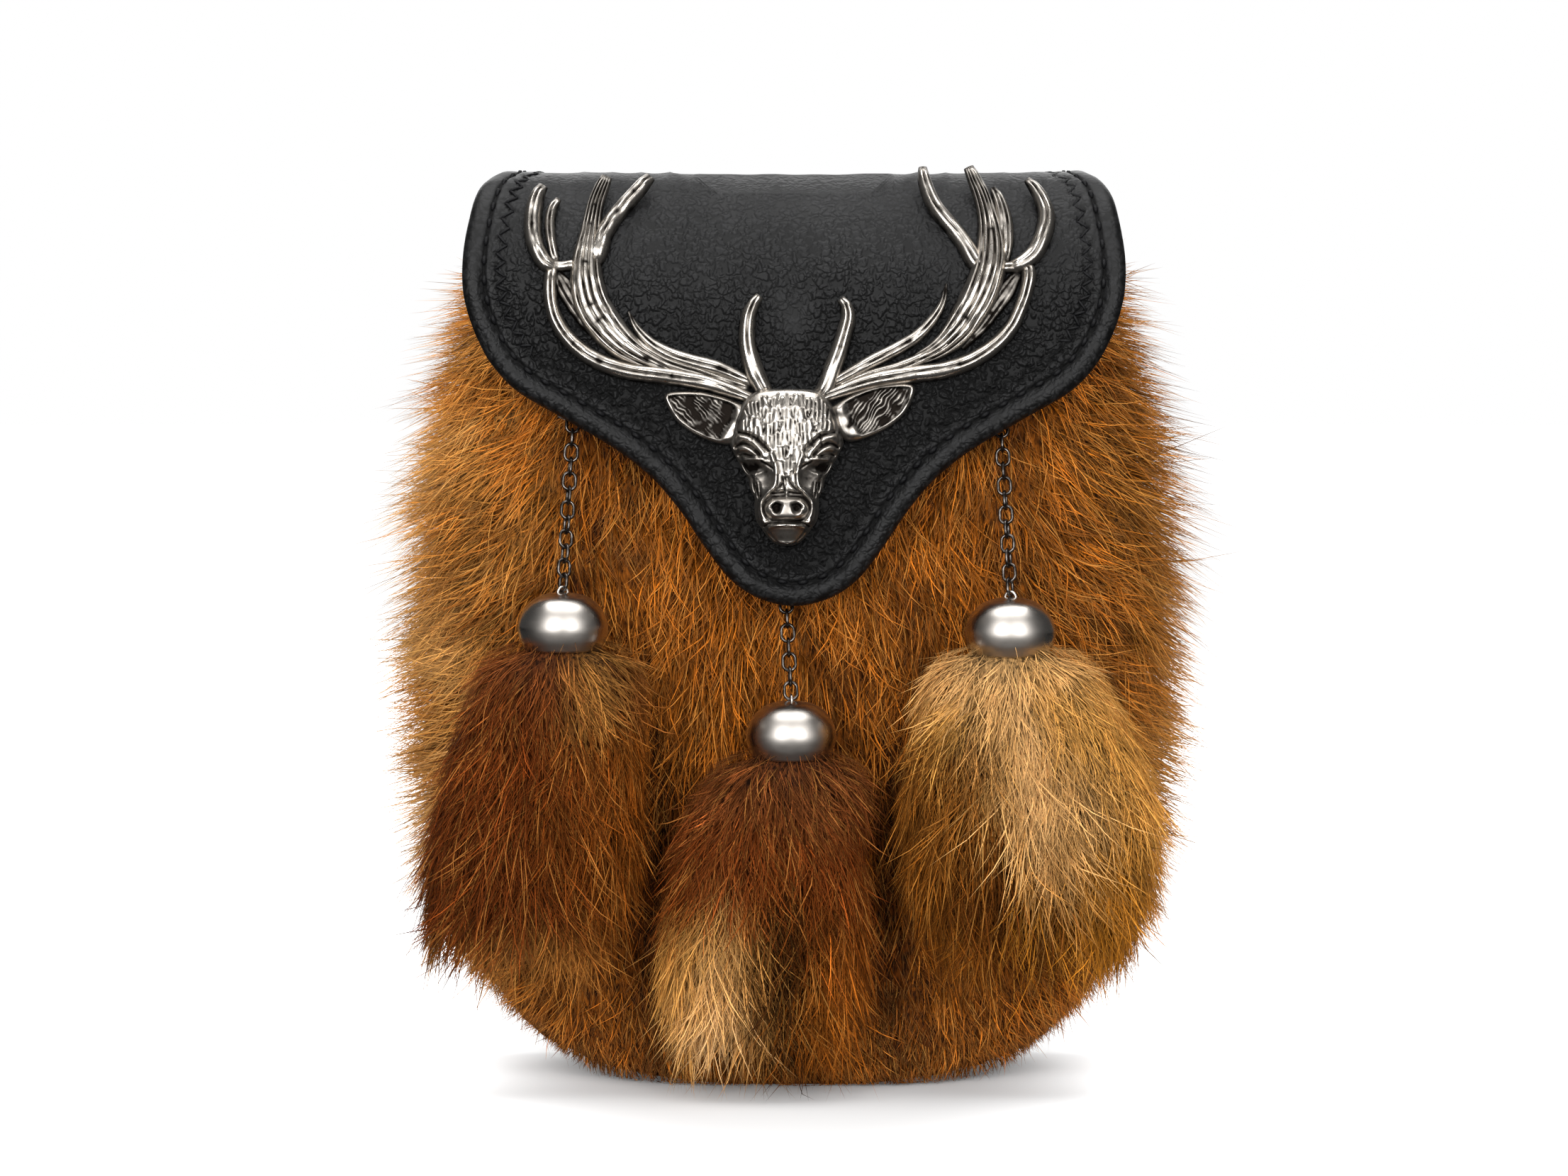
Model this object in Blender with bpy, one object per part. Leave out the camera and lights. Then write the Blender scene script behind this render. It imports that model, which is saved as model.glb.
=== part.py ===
"""Sporran pouch: a fur pouch with a leather back and flap, a cast stag's head badge and three tassels on chains.

Metres, +Z up, the front towards -Y. The origin is the middle of the footprint, on the surface it stands on.
Sizes below are in millimetres and are turned to metres by MM.
"""

import math
from collections import namedtuple

import bmesh
import bpy
from mathutils import Matrix, Vector

MM = 0.001

# Driving sizes
GAP = 0.3  # between pieces that touch
FOOTPRINT_MIDDLE = 10.0  # y of the footprint's middle, which becomes the origin
LEATHER = 2.5  # back panel and belt loops
BACK_FACE = 33.0  # y of the back panel's outer face
MOUTH_HEIGHT = 172.0  # rim of the pouch under the flap
PANEL_MARGIN = 1.0  # how far the back panel stands past the hide
PANEL_RISE = 1.0  # and above the mouth
PANEL_BOTTOM = 6.0

# The pouch: half its width and the y of its front at each height
Section = namedtuple("Section", "height half_width front")
POUCH_SECTIONS = (
    Section(172, 60.5, 4.0),
    Section(160, 65.0, 2.0),
    Section(147, 68.0, 0.3),
    Section(133, 70.3, -1.2),
    Section(118, 72.0, -2.2),
    Section(103, 72.5, -2.8),
    Section(88, 72.3, -3.0),
    Section(73, 71.5, -3.1),
    Section(59, 70.8, -3.4),
    Section(46, 69.8, -4.0),
    Section(34, 67.8, -5.2),
    Section(23, 63.0, -7.0),
    Section(13, 56.0, -9.2),
    Section(5, 48.0, -10.6),
    Section(0, 40.0, -10.0),
)
HOLLOW_SECTIONS = (
    Section(172, 58.5, 6.0),
    Section(147, 66.0, 2.3),
    Section(118, 70.0, -0.2),
    Section(88, 70.3, -1.0),
    Section(59, 68.0, -1.2),
    Section(36, 61.0, 0.0),
    Section(20, 48.0, 3.0),
    Section(12, 34.0, 8.0),
)
PLAN_SQUARENESS = 3.4  # exponent of the superellipse that each level section follows
OUTER_SEGMENTS = 17
INNER_SEGMENTS = 12

# Fur of the pouch, in locks that lie over one another like shingles
FRONT_FUR = 7.5  # how far a lock's tip stands off
SIDE_FUR = 15.0
SHORT_FUR_BELOW = 30.0  # height under which the fur shortens towards the floor
ROOT_LIFT = 1.2
RIM_LIFT = 7.0  # fur that stands up beside the mouth
LOCK_DROP = 5.5  # how far a tip hangs past the next lock's root
LOCK_NARROWING = 0.42
LOCK_FAN = 0.8  # how much the combing turns outwards at the sides
ROOT_NARROWING = 0.93  # of a lock's upper end, which leaves a groove between neighbours
FLOOR_CLEARANCE = 1.2
UNDER_FLAP_FUR = 7.0  # even thickness of the fur that the flap lies on
UNDER_FLAP_MARGIN = 4.0  # how far that fur runs on past the flap's edge

# The flap's outer face down its middle, from its sewn end at the back, over the top, to the tip
Station = namedtuple("Station", "y height")
FLAP_PROFILE = (
    Station(36.6, 148),
    Station(36.6, 162),
    Station(36.4, 175),
    Station(33.2, 185.5),
    Station(24.8, 191.4),
    Station(13.0, 193.6),
    Station(1.8, 191.0),
    Station(-5.8, 183.4),
    Station(-10.8, 172),
    Station(-13.9, 158),
    Station(-16.2, 140),
    Station(-17.8, 120),
    Station(-18.6, 101),
)
CREST = 5  # index of the highest station
FLAP_THICKNESS = 3.0
SIDE_SWEEP = 3.5  # how far the flap's sides lie back from its middle
SWEEP_AT = 70.0  # half width at which the flap is swept back by that much
SWEEP_FROM = 195.0  # the sweep grows from nothing at this height
SWEEP_TO = 160.0

# The flap's edge: half its width at each height, down the front and down the back
Edge = namedtuple("Edge", "height half_width")
FRONT_EDGE = (
    Edge(192.0, 64.4),
    Edge(188.5, 67.4),
    Edge(182.0, 69.1),
    Edge(175.0, 69.9),
    Edge(169.0, 69.7),
    Edge(163.2, 68.5),
    Edge(157.6, 66.3),
    Edge(152.4, 63.2),
    Edge(147.0, 57.8),
    Edge(141.0, 47.4),
    Edge(135.0, 37.2),
    Edge(129.0, 29.6),
    Edge(122.0, 23.6),
    Edge(115.0, 18.9),
    Edge(108.0, 13.4),
    Edge(104.0, 7.4),
)
CREST_HALF_WIDTH = 61.0
BACK_EDGE = (Edge(184.0, 59.5), Edge(165.0, 58.6), Edge(149.5, 58.0))
TIP_HEIGHT = 102.4
PIPING_WIDTH = 5.6
PIPING_THICKNESS = 4.8
PIPING_SINK = 0.9  # its middle, behind the flap's outer face
PIPING_POINTS = 53
PIPING_SIDES = 6
PANEL_POINTS = 53
PANEL_CLEARANCE = 0.4  # between the panel and its piping
BEND_STEP = 10.0  # spacing of the panel's facets along the leather and across it
SWEEP_STEP = 24.0
CUT_SNAP = 0.05  # a cut this near a corner goes through it

# Badge strands: name of the strand, then (x, height, half width) along its middle
BADGE_LIFT = 0.35  # clear of the leather
BADGE_BEND = 180.0  # above this height the casting runs on straight, where the leather rolls away behind it
BADGE_LEAN = 0.5  # how far it leans back there for each unit up
STRAND_HEIGHT = 0.9  # half a strand's height against half its width
STRAND_SIDES = 5
Strand = namedtuple("Strand", "name knots")
LEFT_ANTLER = (
    Strand("main_beam", ((-5, 144.5, 1.5), (-12, 147.8, 1.6), (-20, 149.9, 1.6), (-33, 152.4, 1.7),
                         (-41.5, 156, 1.7), (-48.5, 162, 1.7), (-51.2, 170, 1.8), (-53.8, 177.6, 2.0),
                         (-55.2, 184.4, 1.9), (-53, 190.6, 0.9))),
    Strand("trunk", ((-21.4, 151, 1.2), (-30, 154.8, 2.2), (-37.6, 161, 2.7), (-44, 170, 2.9),
                     (-45.3, 176.8, 2.2), (-43.5, 183.6, 1.6), (-39.3, 192, 1.0))),
    Strand("fork", ((-44.6, 174.5, 1.3), (-39.7, 181, 1.4), (-30.2, 192, 0.9))),
    Strand("inner_tine", ((-9, 148.3, 1.2), (-18.6, 152.2, 1.3), (-26.4, 155, 1.2), (-34.4, 163.4, 0.35))),
    Strand("small_tine", ((-51.4, 170.5, 0.9), (-51.2, 178.5, 1.1), (-49.4, 187.6, 0.6))),
    Strand("bridge", ((-51.2, 173.2, 1.1), (-44.6, 173.4, 1.2))),
    Strand("brow_tine", ((-5, 143, 1.6), (-7.4, 149.4, 1.9), (-9.5, 158, 1.4), (-9.3, 163.6, 1.2),
                         (-7.1, 167.2, 0.7))),
)
RIGHT_ANTLER = (
    Strand("main_beam", ((2, 144.5, 1.5), (9, 147.9, 1.6), (20, 150.6, 1.6), (32, 153.9, 1.7),
                         (40.5, 157.7, 1.7), (46, 164, 1.7), (48.6, 172, 1.7), (52.8, 180, 1.8),
                         (53.2, 186.2, 1.6), (49, 191.6, 0.7))),
    Strand("trunk", ((25.5, 152, 1.2), (32.5, 158, 2.2), (38.2, 166, 2.7), (40.9, 175.4, 2.5),
                     (40.5, 183, 1.8), (37.2, 194, 0.9))),
    Strand("fork", ((39.4, 174.4, 1.3), (34, 180, 1.4), (29.3, 188, 1.3), (27, 194, 0.6))),
    Strand("inner_tine", ((7, 147.3, 1.2), (15.7, 152.2, 1.4), (24.6, 155.8, 1.4), (30, 161.8, 1.1),
                          (32.2, 169, 0.35))),
    Strand("small_tine", ((46.6, 167, 1.0), (45.5, 175, 1.3), (42.6, 189.4, 0.9))),
    Strand("bridge", ((41, 173.2, 1.3), (45.5, 173.6, 1.4), (50, 176, 1.3))),
    Strand("brow_tine", ((2.5, 143, 1.6), (6.6, 148.8, 1.7), (11, 157.6, 1.3), (11.5, 163.2, 1.1),
                         (10, 166.8, 0.7))),
)
# The stag's head, as level sections: half its width and how far it stands off the leather
HeadSection = namedtuple("HeadSection", "height half_width rise middle")
HEAD_SECTIONS = (
    HeadSection(147.6, 5.5, 2.6, -0.9),
    HeadSection(145.6, 8.8, 4.4, -0.9),
    HeadSection(140.0, 9.7, 5.6, -1.1),
    HeadSection(135.0, 11.2, 6.0, -1.2),
    HeadSection(129.5, 8.8, 5.8, -1.4),
    HeadSection(125.5, 7.2, 6.2, -1.4),
    HeadSection(122.0, 7.0, 7.4, -1.5),
    HeadSection(118.5, 6.5, 7.2, -1.5),
    HeadSection(115.3, 3.4, 4.0, -1.4),
)
HEAD_ARC = 8  # segments of a section's rounded front
HEAD_EDGE = 0.6  # how far the edge of the head stands off its back
HEAD_BACK = 0.6  # width of the head's back against its front
EAR_THICKNESS = 1.6
EAR_HOLLOW = 0.9  # how deep the ear's hollow goes below its rim
LEFT_EAR = (
    (-9, 146.5), (-14, 148.4), (-21, 147.8), (-26.8, 146.6), (-25.4, 142.6),
    (-22, 139.2), (-17, 136.7), (-12, 136.6), (-9.5, 139),
)
RIGHT_EAR = (
    (7.5, 146), (12.5, 148.2), (18, 149.4), (25, 148.8), (24.1, 144.2),
    (20.8, 140.6), (16, 137.7), (11, 137.2), (8.5, 139),
)

# Chains with their caps: x and y of the chain's hanger, x and height of the cap's top, the lowest link's turn
Drop = namedtuple("Drop", "name x y cap_x cap_top links twist")
DROPS = (
    Drop("left", -46.3, -7.8, -48.1, 105.4, 12, 0.6),
    Drop("centre", -1.8, -12.4, -0.6, 82.8, 7, 0.1),
    Drop("right", 43.4, -7.8, 45.0, 104.4, 12, -0.45),
)
LINK_LENGTH = 4.4
LINK_WIDTH = 3.3
LINK_WIRE = 0.62
LINK_POINTS = 10
LINK_SIDES = 5
LINK_REACH = (LINK_LENGTH - LINK_WIRE) / 2 * math.cos(math.pi / LINK_POINTS)  # centre to the end of its wire
LINK_PITCH = 2 * LINK_REACH - LINK_WIRE * 0.72
STAPLE_PLATE = 4.5  # radius of the plate that carries a chain's top link
STAPLE_THICKNESS = 1.2
STAPLE_RAISE = 2.4  # the plate's middle above its eye

CAP_Y = -21.0
CAP_WALL = 0.8
CAP_SEGMENTS = 12
Turn = namedtuple("Turn", "radius below_top")
CAP_PROFILE = (Turn(2.0, 0.0), Turn(5.6, 1.0), Turn(8.4, 3.4), Turn(9.7, 7.2), Turn(9.4, 9.8), Turn(8.5, 12.0))
CAP_HEIGHT = CAP_PROFILE[-1].below_top
EYE_RADIUS = 1.2  # of a wire eye, to the middle of its wire
EYE_POINTS = 8
BEARING = EYE_RADIUS - LINK_WIRE - 0.2  # how far inside an eye a link's wire lies from its middle

# Tassels below their necks: at each height, the middle and half width across, and the front and back
TasselSection = namedtuple("TasselSection", "height middle half_width front back")
TASSELS = {
    "left": (
        TasselSection(90.0, -48.4, 14.5, -30.5, -12.5),
        TasselSection(78.0, -50.6, 19.0, -32.3, -12.0),
        TasselSection(64.0, -52.8, 21.5, -33.0, -12.0),
        TasselSection(50.0, -55.0, 22.0, -33.5, -12.5),
        TasselSection(36.0, -58.0, 19.5, -32.0, -14.0),
    ),
    "centre": (
        TasselSection(67.0, -1.4, 14.5, -30.5, -12.5),
        TasselSection(55.5, -4.6, 19.0, -32.3, -12.0),
        TasselSection(42.0, -5.8, 21.0, -33.0, -12.8),
        TasselSection(29.0, -6.2, 21.5, -33.5, -14.8),
        TasselSection(17.0, -6.6, 19.0, -32.5, -17.5),
    ),
    "right": (
        TasselSection(89.0, 45.6, 15.5, -30.5, -12.5),
        TasselSection(77.0, 47.4, 22.0, -32.5, -12.0),
        TasselSection(62.5, 48.8, 26.5, -33.5, -12.0),
        TasselSection(48.0, 49.6, 25.5, -33.5, -12.5),
        TasselSection(35.0, 50.2, 21.0, -32.0, -14.0),
    ),
}
TASSEL_SEGMENTS = 10
TASSEL_SQUARENESS = 0.75  # exponent of a level section, where 1 is an ellipse
TASSEL_LOCK_LIFT = 3.4
TASSEL_ROOT_LIFT = 0.5
TASSEL_BACK_LIFT = 0.2  # of the flatter locks behind
TASSEL_SPREAD = 0.25  # how much the locks turn outwards
TASSEL_LOCK_DROP = 5.0
TASSEL_TIP_DROP = 9.0
TASSEL_HOLLOW = 3.0  # recess in the tassel's foot
TASSEL_FLOOR = 1.6
NECK_RADIUS = 6.9
NECK_RISE = 3.5  # how far the neck goes up into its cap

# Belt loops on the back: a strap passes through them from side to side
LOOP_X = 34.0
LOOP_WIDTH = 16.0
LOOP_BOTTOM, LOOP_TOP = 90.0, 146.0
LOOP_FOOT = 8.0
LOOP_SLOT = 5.0

BLACK_LEATHER = ("black_leather", (0.012, 0.012, 0.013, 1), 0.0, 0.42)
BROWN_FUR = ("brown_fur", (0.28, 0.12, 0.03, 1), 0.0, 0.8)
DARK_FUR = ("dark_fur", (0.12, 0.045, 0.014, 1), 0.0, 0.8)
TAN_FUR = ("tan_fur", (0.45, 0.25, 0.09, 1), 0.0, 0.8)
ANTIQUE_SILVER = ("antique_silver", (0.62, 0.58, 0.54, 1), 1.0, 0.3)
POLISHED_SILVER = ("polished_silver", (0.72, 0.7, 0.67, 1), 1.0, 0.18)
GUNMETAL = ("gunmetal", (0.12, 0.11, 0.1, 1), 1.0, 0.35)


def clear_scene():
    for old in list(bpy.data.objects):
        bpy.data.objects.remove(old)


def face_out(bm):
    bmesh.ops.recalc_face_normals(bm, faces=bm.faces)
    if bm.calc_volume(signed=True) < 0:
        bmesh.ops.reverse_faces(bm, faces=bm.faces)


def verts_of(moved):
    """The points among what an extrusion gives back."""
    return [v for v in moved if isinstance(v, bmesh.types.BMVert)]


def finish_of(finish):
    """The material of that finish, made once."""
    name, colour, metallic, roughness = finish
    material = bpy.data.materials.get(name)
    if material is None:
        material = bpy.data.materials.new(name)
        material.use_nodes = True
        shader = material.node_tree.nodes["Principled BSDF"]
        shader.inputs["Base Color"].default_value = colour
        shader.inputs["Metallic"].default_value = metallic
        shader.inputs["Roughness"].default_value = roughness
    return material


def add_object(name, bm, finish, smooth=True):
    """Turns a bmesh in millimetres into a named object in metres, the middle of the footprint at the origin."""
    bmesh.ops.translate(bm, vec=(0, -FOOTPRINT_MIDDLE, 0), verts=bm.verts)
    bmesh.ops.scale(bm, vec=Vector((MM, MM, MM)), verts=bm.verts)
    mesh = bpy.data.meshes.new(name)
    bm.to_mesh(mesh)
    bm.free()
    if smooth:
        mesh.shade_smooth()
        mesh.set_sharp_from_angle(angle=math.radians(40))
    mesh.materials.append(finish_of(finish))
    made = bpy.data.objects.new(name, mesh)
    bpy.context.scene.collection.objects.link(made)
    return made


def curve_through(knots, per_span=8):
    """Points of a Catmull-Rom curve through the knots, which are tuples of equal length."""
    knots = [Vector(k) for k in knots]
    padded = [2 * knots[0] - knots[1], *knots, 2 * knots[-1] - knots[-2]]
    points = []
    for i in range(1, len(padded) - 2):
        a, b, c, d = padded[i - 1 : i + 3]
        for step in range(per_span):
            t = step / per_span
            points.append(
                0.5
                * (2 * b + (c - a) * t + (2 * a - 5 * b + 4 * c - d) * t**2 + (3 * b - a - 3 * c + d) * t**3)
            )
    return [*points, knots[-1]]


def lengths_along(points):
    total, lengths = 0.0, [0.0]
    for a, b in zip(points, points[1:]):
        total += (b - a).length
        lengths.append(total)
    return lengths


def resample(points, count):
    """That many points, equally spaced along a line of points."""
    lengths = lengths_along(points)
    found, i = [], 0
    for k in range(count):
        at = lengths[-1] * k / (count - 1)
        while i < len(points) - 2 and lengths[i + 1] < at:
            i += 1
        share = (at - lengths[i]) / max(lengths[i + 1] - lengths[i], 1e-9)
        found.append(points[i].lerp(points[i + 1], min(1.0, share)))
    return found


def lookup(pairs, at):
    """The second value at a first value, along straight lines between pairs that rise or fall in order."""
    pairs = sorted(pairs)
    if at <= pairs[0][0]:
        return pairs[0][1]
    for (a, low), (b, high) in zip(pairs, pairs[1:]):
        if at <= b:
            return low + (high - low) * (at - a) / max(b - a, 1e-9)
    return pairs[-1][1]


def fuse(body, shapes):
    """Joins closed shapes into one body with a Boolean, and keeps them as its hidden helpers."""
    helpers = bpy.data.collections.new(f"{body.name}_shapes")
    bpy.context.scene.collection.children.link(helpers)
    for shape in shapes:
        bpy.context.scene.collection.objects.unlink(shape)
        helpers.objects.link(shape)
        shape.hide_render = True
        shape.display_type = "WIRE"
    union = body.modifiers.new("joined", "BOOLEAN")
    union.operation = "UNION"
    union.operand_type = "COLLECTION"
    union.collection = helpers


# ---- the flap's surface

PROFILE_STEPS = 12
PROFILE = curve_through([(s.y, s.height) for s in FLAP_PROFILE], PROFILE_STEPS)
PROFILE_LENGTHS = lengths_along(PROFILE)
CREST_LENGTH = PROFILE_LENGTHS[CREST * PROFILE_STEPS]
PAST_CREST = [(p.y, length - CREST_LENGTH) for p, length in zip(PROFILE, PROFILE_LENGTHS)]
FRONT_LOOKUP = [(height, along) for height, along in PAST_CREST if along > 0]
BACK_LOOKUP = [(height, along) for height, along in PAST_CREST if along < 0]


def along_at_height(height, front=True):
    """How far from the crest, along the leather, the flap's middle reaches a height. Behind, it is negative."""
    return lookup(FRONT_LOOKUP if front else BACK_LOOKUP, height)


def flap_middle(along):
    """(y, height) of the flap's outer face down its middle."""
    at = along + CREST_LENGTH
    pairs_y = [(length, p.x) for length, p in zip(PROFILE_LENGTHS, PROFILE)]
    pairs_z = [(length, p.y) for length, p in zip(PROFILE_LENGTHS, PROFILE)]
    return lookup(pairs_y, at), lookup(pairs_z, at)


def flap_face(x, along):
    """The point of the flap's outer face at x, that far along the leather from the crest."""
    y, height = flap_middle(along)
    if along > 0:
        share = min(1.0, max(0.0, (SWEEP_FROM - height) / (SWEEP_FROM - SWEEP_TO)))
        y += SIDE_SWEEP * share * (x / SWEEP_AT) ** 2
    return Vector((x, y, height))


def flap_normal(x, along):
    step = 0.5
    across = flap_face(x + step, along) - flap_face(x - step, along)
    down = flap_face(x, along + step) - flap_face(x, along - step)
    return down.cross(across).normalized()


def on_flap(x, along, lift=0.0):
    return flap_face(x, along) + flap_normal(x, along) * lift


def on_badge(x, height, lift):
    """A place on the casting, that far off the leather at its back."""
    place = on_flap(x, along_at_height(min(height, BADGE_BEND)), lift)
    return place + Vector((0, BADGE_LEAN, 1)) * max(0.0, height - BADGE_BEND)


def flap_outline(count):
    """The flap's outline, flat, as (x, along) from the back's left corner round the tip to the right one."""
    right = [(e.half_width, along_at_height(e.height, front=False)) for e in reversed(BACK_EDGE)]
    right.append((CREST_HALF_WIDTH, 0.0))
    right += [(e.half_width, along_at_height(e.height)) for e in FRONT_EDGE]
    tip = (0.0, along_at_height(TIP_HEIGHT))
    left = [(-x, s) for x, s in right]
    return resample(curve_through([*left, tip, *reversed(right)]), count)


def inset_outline(outline, by):
    """The outline moved inwards, towards the leather."""
    moved = []
    for i, point in enumerate(outline):
        before, after = outline[max(i - 1, 0)], outline[min(i + 1, len(outline) - 1)]
        run = (after - before).normalized()
        moved.append(point + Vector((run.y, -run.x)) * by)
    return moved


def make_flap_panel():
    """The flap, cut flat to its outline, divided where it bends, bent over the top and given its thickness."""
    outline = inset_outline(flap_outline(PANEL_POINTS), PIPING_WIDTH + PANEL_CLEARANCE)
    bm = bmesh.new()
    bm.faces.new([bm.verts.new((p.x, p.y, 0)) for p in outline])
    lows = [min(v.co[k] for v in bm.verts) for k in range(2)]
    highs = [max(v.co[k] for v in bm.verts) for k in range(2)]
    for axis, step in ((1, BEND_STEP), (0, SWEEP_STEP)):
        cuts = round((highs[axis] - lows[axis]) / step)
        for i in range(1, cuts):
            place = lows[axis] + (highs[axis] - lows[axis]) * i / cuts
            at, normal = [0.0] * 3, [0.0] * 3
            at[axis], normal[axis] = place, 1.0
            whole = [*bm.verts, *bm.edges, *bm.faces]
            bmesh.ops.bisect_plane(bm, geom=whole, dist=CUT_SNAP, plane_co=at, plane_no=normal)
    bm.verts.index_update()
    flat_points = [v.co.copy() for v in bm.verts]
    flat_faces = [[v.index for v in f.verts] for f in bm.faces]
    bm.free()
    return add_object("flap_panel", thick_sheet(flat_points, flat_faces, FLAP_THICKNESS), BLACK_LEATHER)


def thick_sheet(flat_points, flat_faces, thickness):
    """A closed sheet on the flap's surface: its outer face follows the surface, its inner face lies behind."""
    bm = bmesh.new()
    outer = [bm.verts.new(on_flap(p.x, p.y)) for p in flat_points]
    inner = [bm.verts.new(on_flap(p.x, p.y, -thickness)) for p in flat_points]
    used = {}
    for face in flat_faces:
        for a, b in zip(face, face[1:] + face[:1]):
            used[(a, b)] = True
        bm.faces.new([outer[i] for i in face])
        bm.faces.new([inner[i] for i in reversed(face)])
    for a, b in used:
        if (b, a) not in used:
            bm.faces.new([outer[b], outer[a], inner[a], inner[b]])
    face_out(bm)
    return bm


def make_flap_piping():
    """The rolled edge that runs down each side of the flap and round its tip."""
    path = inset_outline(flap_outline(PIPING_POINTS), PIPING_WIDTH / 2)
    rings = []
    bm = bmesh.new()
    for i, point in enumerate(path):
        before, after = path[max(i - 1, 0)], path[min(i + 1, len(path) - 1)]
        run = (after - before).normalized()
        inwards = Vector((run.y, -run.x))
        ring = []
        for k in range(PIPING_SIDES):
            angle = 2 * math.pi * k / PIPING_SIDES
            flat = point + inwards * (PIPING_WIDTH / 2 * math.cos(angle))
            lift = PIPING_THICKNESS / 2 * math.sin(angle) - PIPING_SINK
            ring.append(bm.verts.new(on_flap(flat.x, flat.y, lift)))
        rings.append(ring)
    skin_rings(bm, rings)
    return add_object("flap_piping", bm, BLACK_LEATHER)


def skin_rings(bm, rings):
    """Joins closed rings of equal length into a capped tube."""
    for a, b in zip(rings, rings[1:]):
        for k in range(len(a)):
            after = (k + 1) % len(a)
            bm.faces.new([a[k], a[after], b[after], b[k]])
    bm.faces.new(rings[0])
    bm.faces.new(rings[-1])
    face_out(bm)


# ---- the pouch

POUCH_BACK = BACK_FACE - LEATHER - GAP


def level_section(half_width, front, height, segments, steps=48):
    """A level section of the pouch, from its left back edge round the front to its right back edge."""
    power = 2 / PLAN_SQUARENESS
    points = []
    for i in range(steps + 1):
        angle = math.pi * i / steps
        x = -math.copysign(abs(math.cos(angle)) ** power, math.cos(angle)) * half_width
        y = POUCH_BACK + (front - POUCH_BACK) * abs(math.sin(angle)) ** power
        points.append(Vector((x, y, height)))
    return resample(points, segments + 1)


def flap_covers(x, height, margin=0.0):
    """Whether the flap lies in front of that place."""
    if height < TIP_HEIGHT - margin:
        return False
    edges = [(e.height, e.half_width) for e in FRONT_EDGE] + [(TIP_HEIGHT, 0.0)]
    return abs(x) < lookup(edges, height) + margin


def comb(centre, normal, fan):
    """Which way the fur lies there: down, and outwards at the sides."""
    way = Vector((fan * centre.x / 70, 0, -1))
    flat = way - normal * way.dot(normal)
    return flat.normalized() if flat.length > 0.1 else Vector((0, 0, -1))


def grow_lock(bm, face, root_lift, tip_lift, drop, way, narrowing=LOCK_NARROWING, floor=FLOOR_CLEARANCE):
    """Draws a face out into a wedge whose lower end stands off, hangs down and narrows, as a fur lock does."""
    centre, normal = face.calc_center_median(), face.normal.copy()
    top = bmesh.ops.extrude_discrete_faces(bm, faces=[face])["faces"][0]
    upper = sorted(top.verts, key=lambda v: -v.co.z)[:2]
    lower = [v for v in top.verts if v not in upper]
    foot = (lower[0].co + lower[1].co) / 2
    for vert in upper:
        vert.co = centre + (vert.co - centre) * ROOT_NARROWING + normal * root_lift
    for vert in lower:
        vert.co = foot + (vert.co - foot) * narrowing + normal * tip_lift + way * drop
        vert.co.z = max(vert.co.z, floor)


def make_fur_pouch():
    """The pelt: a hide open at the top and back, with its fur in locks and a thick flat base of fur."""
    bm = bmesh.new()
    rings = [
        [bm.verts.new(p) for p in level_section(s.half_width, s.front, s.height, OUTER_SEGMENTS)]
        for s in POUCH_SECTIONS
    ]
    outside = []
    for a, b in zip(rings, rings[1:]):
        for k in range(len(a) - 1):
            outside.append(bm.faces.new([a[k], b[k], b[k + 1], a[k + 1]]))
    bm.faces.new(rings[-1])
    inner = [
        [bm.verts.new(p) for p in level_section(s.half_width, s.front, s.height, INNER_SEGMENTS)]
        for s in HOLLOW_SECTIONS
    ]
    for a, b in zip(inner, inner[1:]):
        for k in range(len(a) - 1):
            bm.faces.new([a[k], a[k + 1], b[k + 1], b[k]])
    bm.faces.new(inner[-1])
    bm.faces.new([*rings[0], *reversed(inner[0])])
    bm.faces.new([*back_edge(rings), *reversed(back_edge(inner))])
    face_out(bm)
    for face in outside:
        dress_face(bm, face)
    bmesh.ops.triangulate(bm, faces=bm.faces)
    return add_object("fur_pouch", bm, BROWN_FUR)


def back_edge(rings):
    """The open edge at the back of level sections: down its left side, along the bottom and up its right."""
    return [*[r[0] for r in rings], *[r[-1] for r in reversed(rings)]]


def dress_face(bm, face):
    """Gives one face of the pouch its lock, sized by where it is. The underside of the base has none."""
    centre, normal = face.calc_center_median(), face.normal.copy()
    if normal.z < -0.6:
        return
    facing_front = max(0.0, -normal.y) ** 2
    tip_lift = FRONT_FUR * facing_front + SIDE_FUR * (1 - facing_front)
    tip_lift *= min(1.0, (centre.z + 4.0) / SHORT_FUR_BELOW)
    root_lift = ROOT_LIFT
    if centre.z > POUCH_SECTIONS[1].height:
        root_lift += RIM_LIFT * (1 - facing_front)
    if facing_front > 0.5 and flap_covers(centre.x, centre.z, UNDER_FLAP_MARGIN):
        level = comb(centre, normal, 0.0)
        grow_lock(bm, face, UNDER_FLAP_FUR, UNDER_FLAP_FUR, 0.0, level, ROOT_NARROWING)
        return
    grow_lock(bm, face, root_lift, tip_lift, LOCK_DROP, comb(centre, normal, LOCK_FAN))


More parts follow.
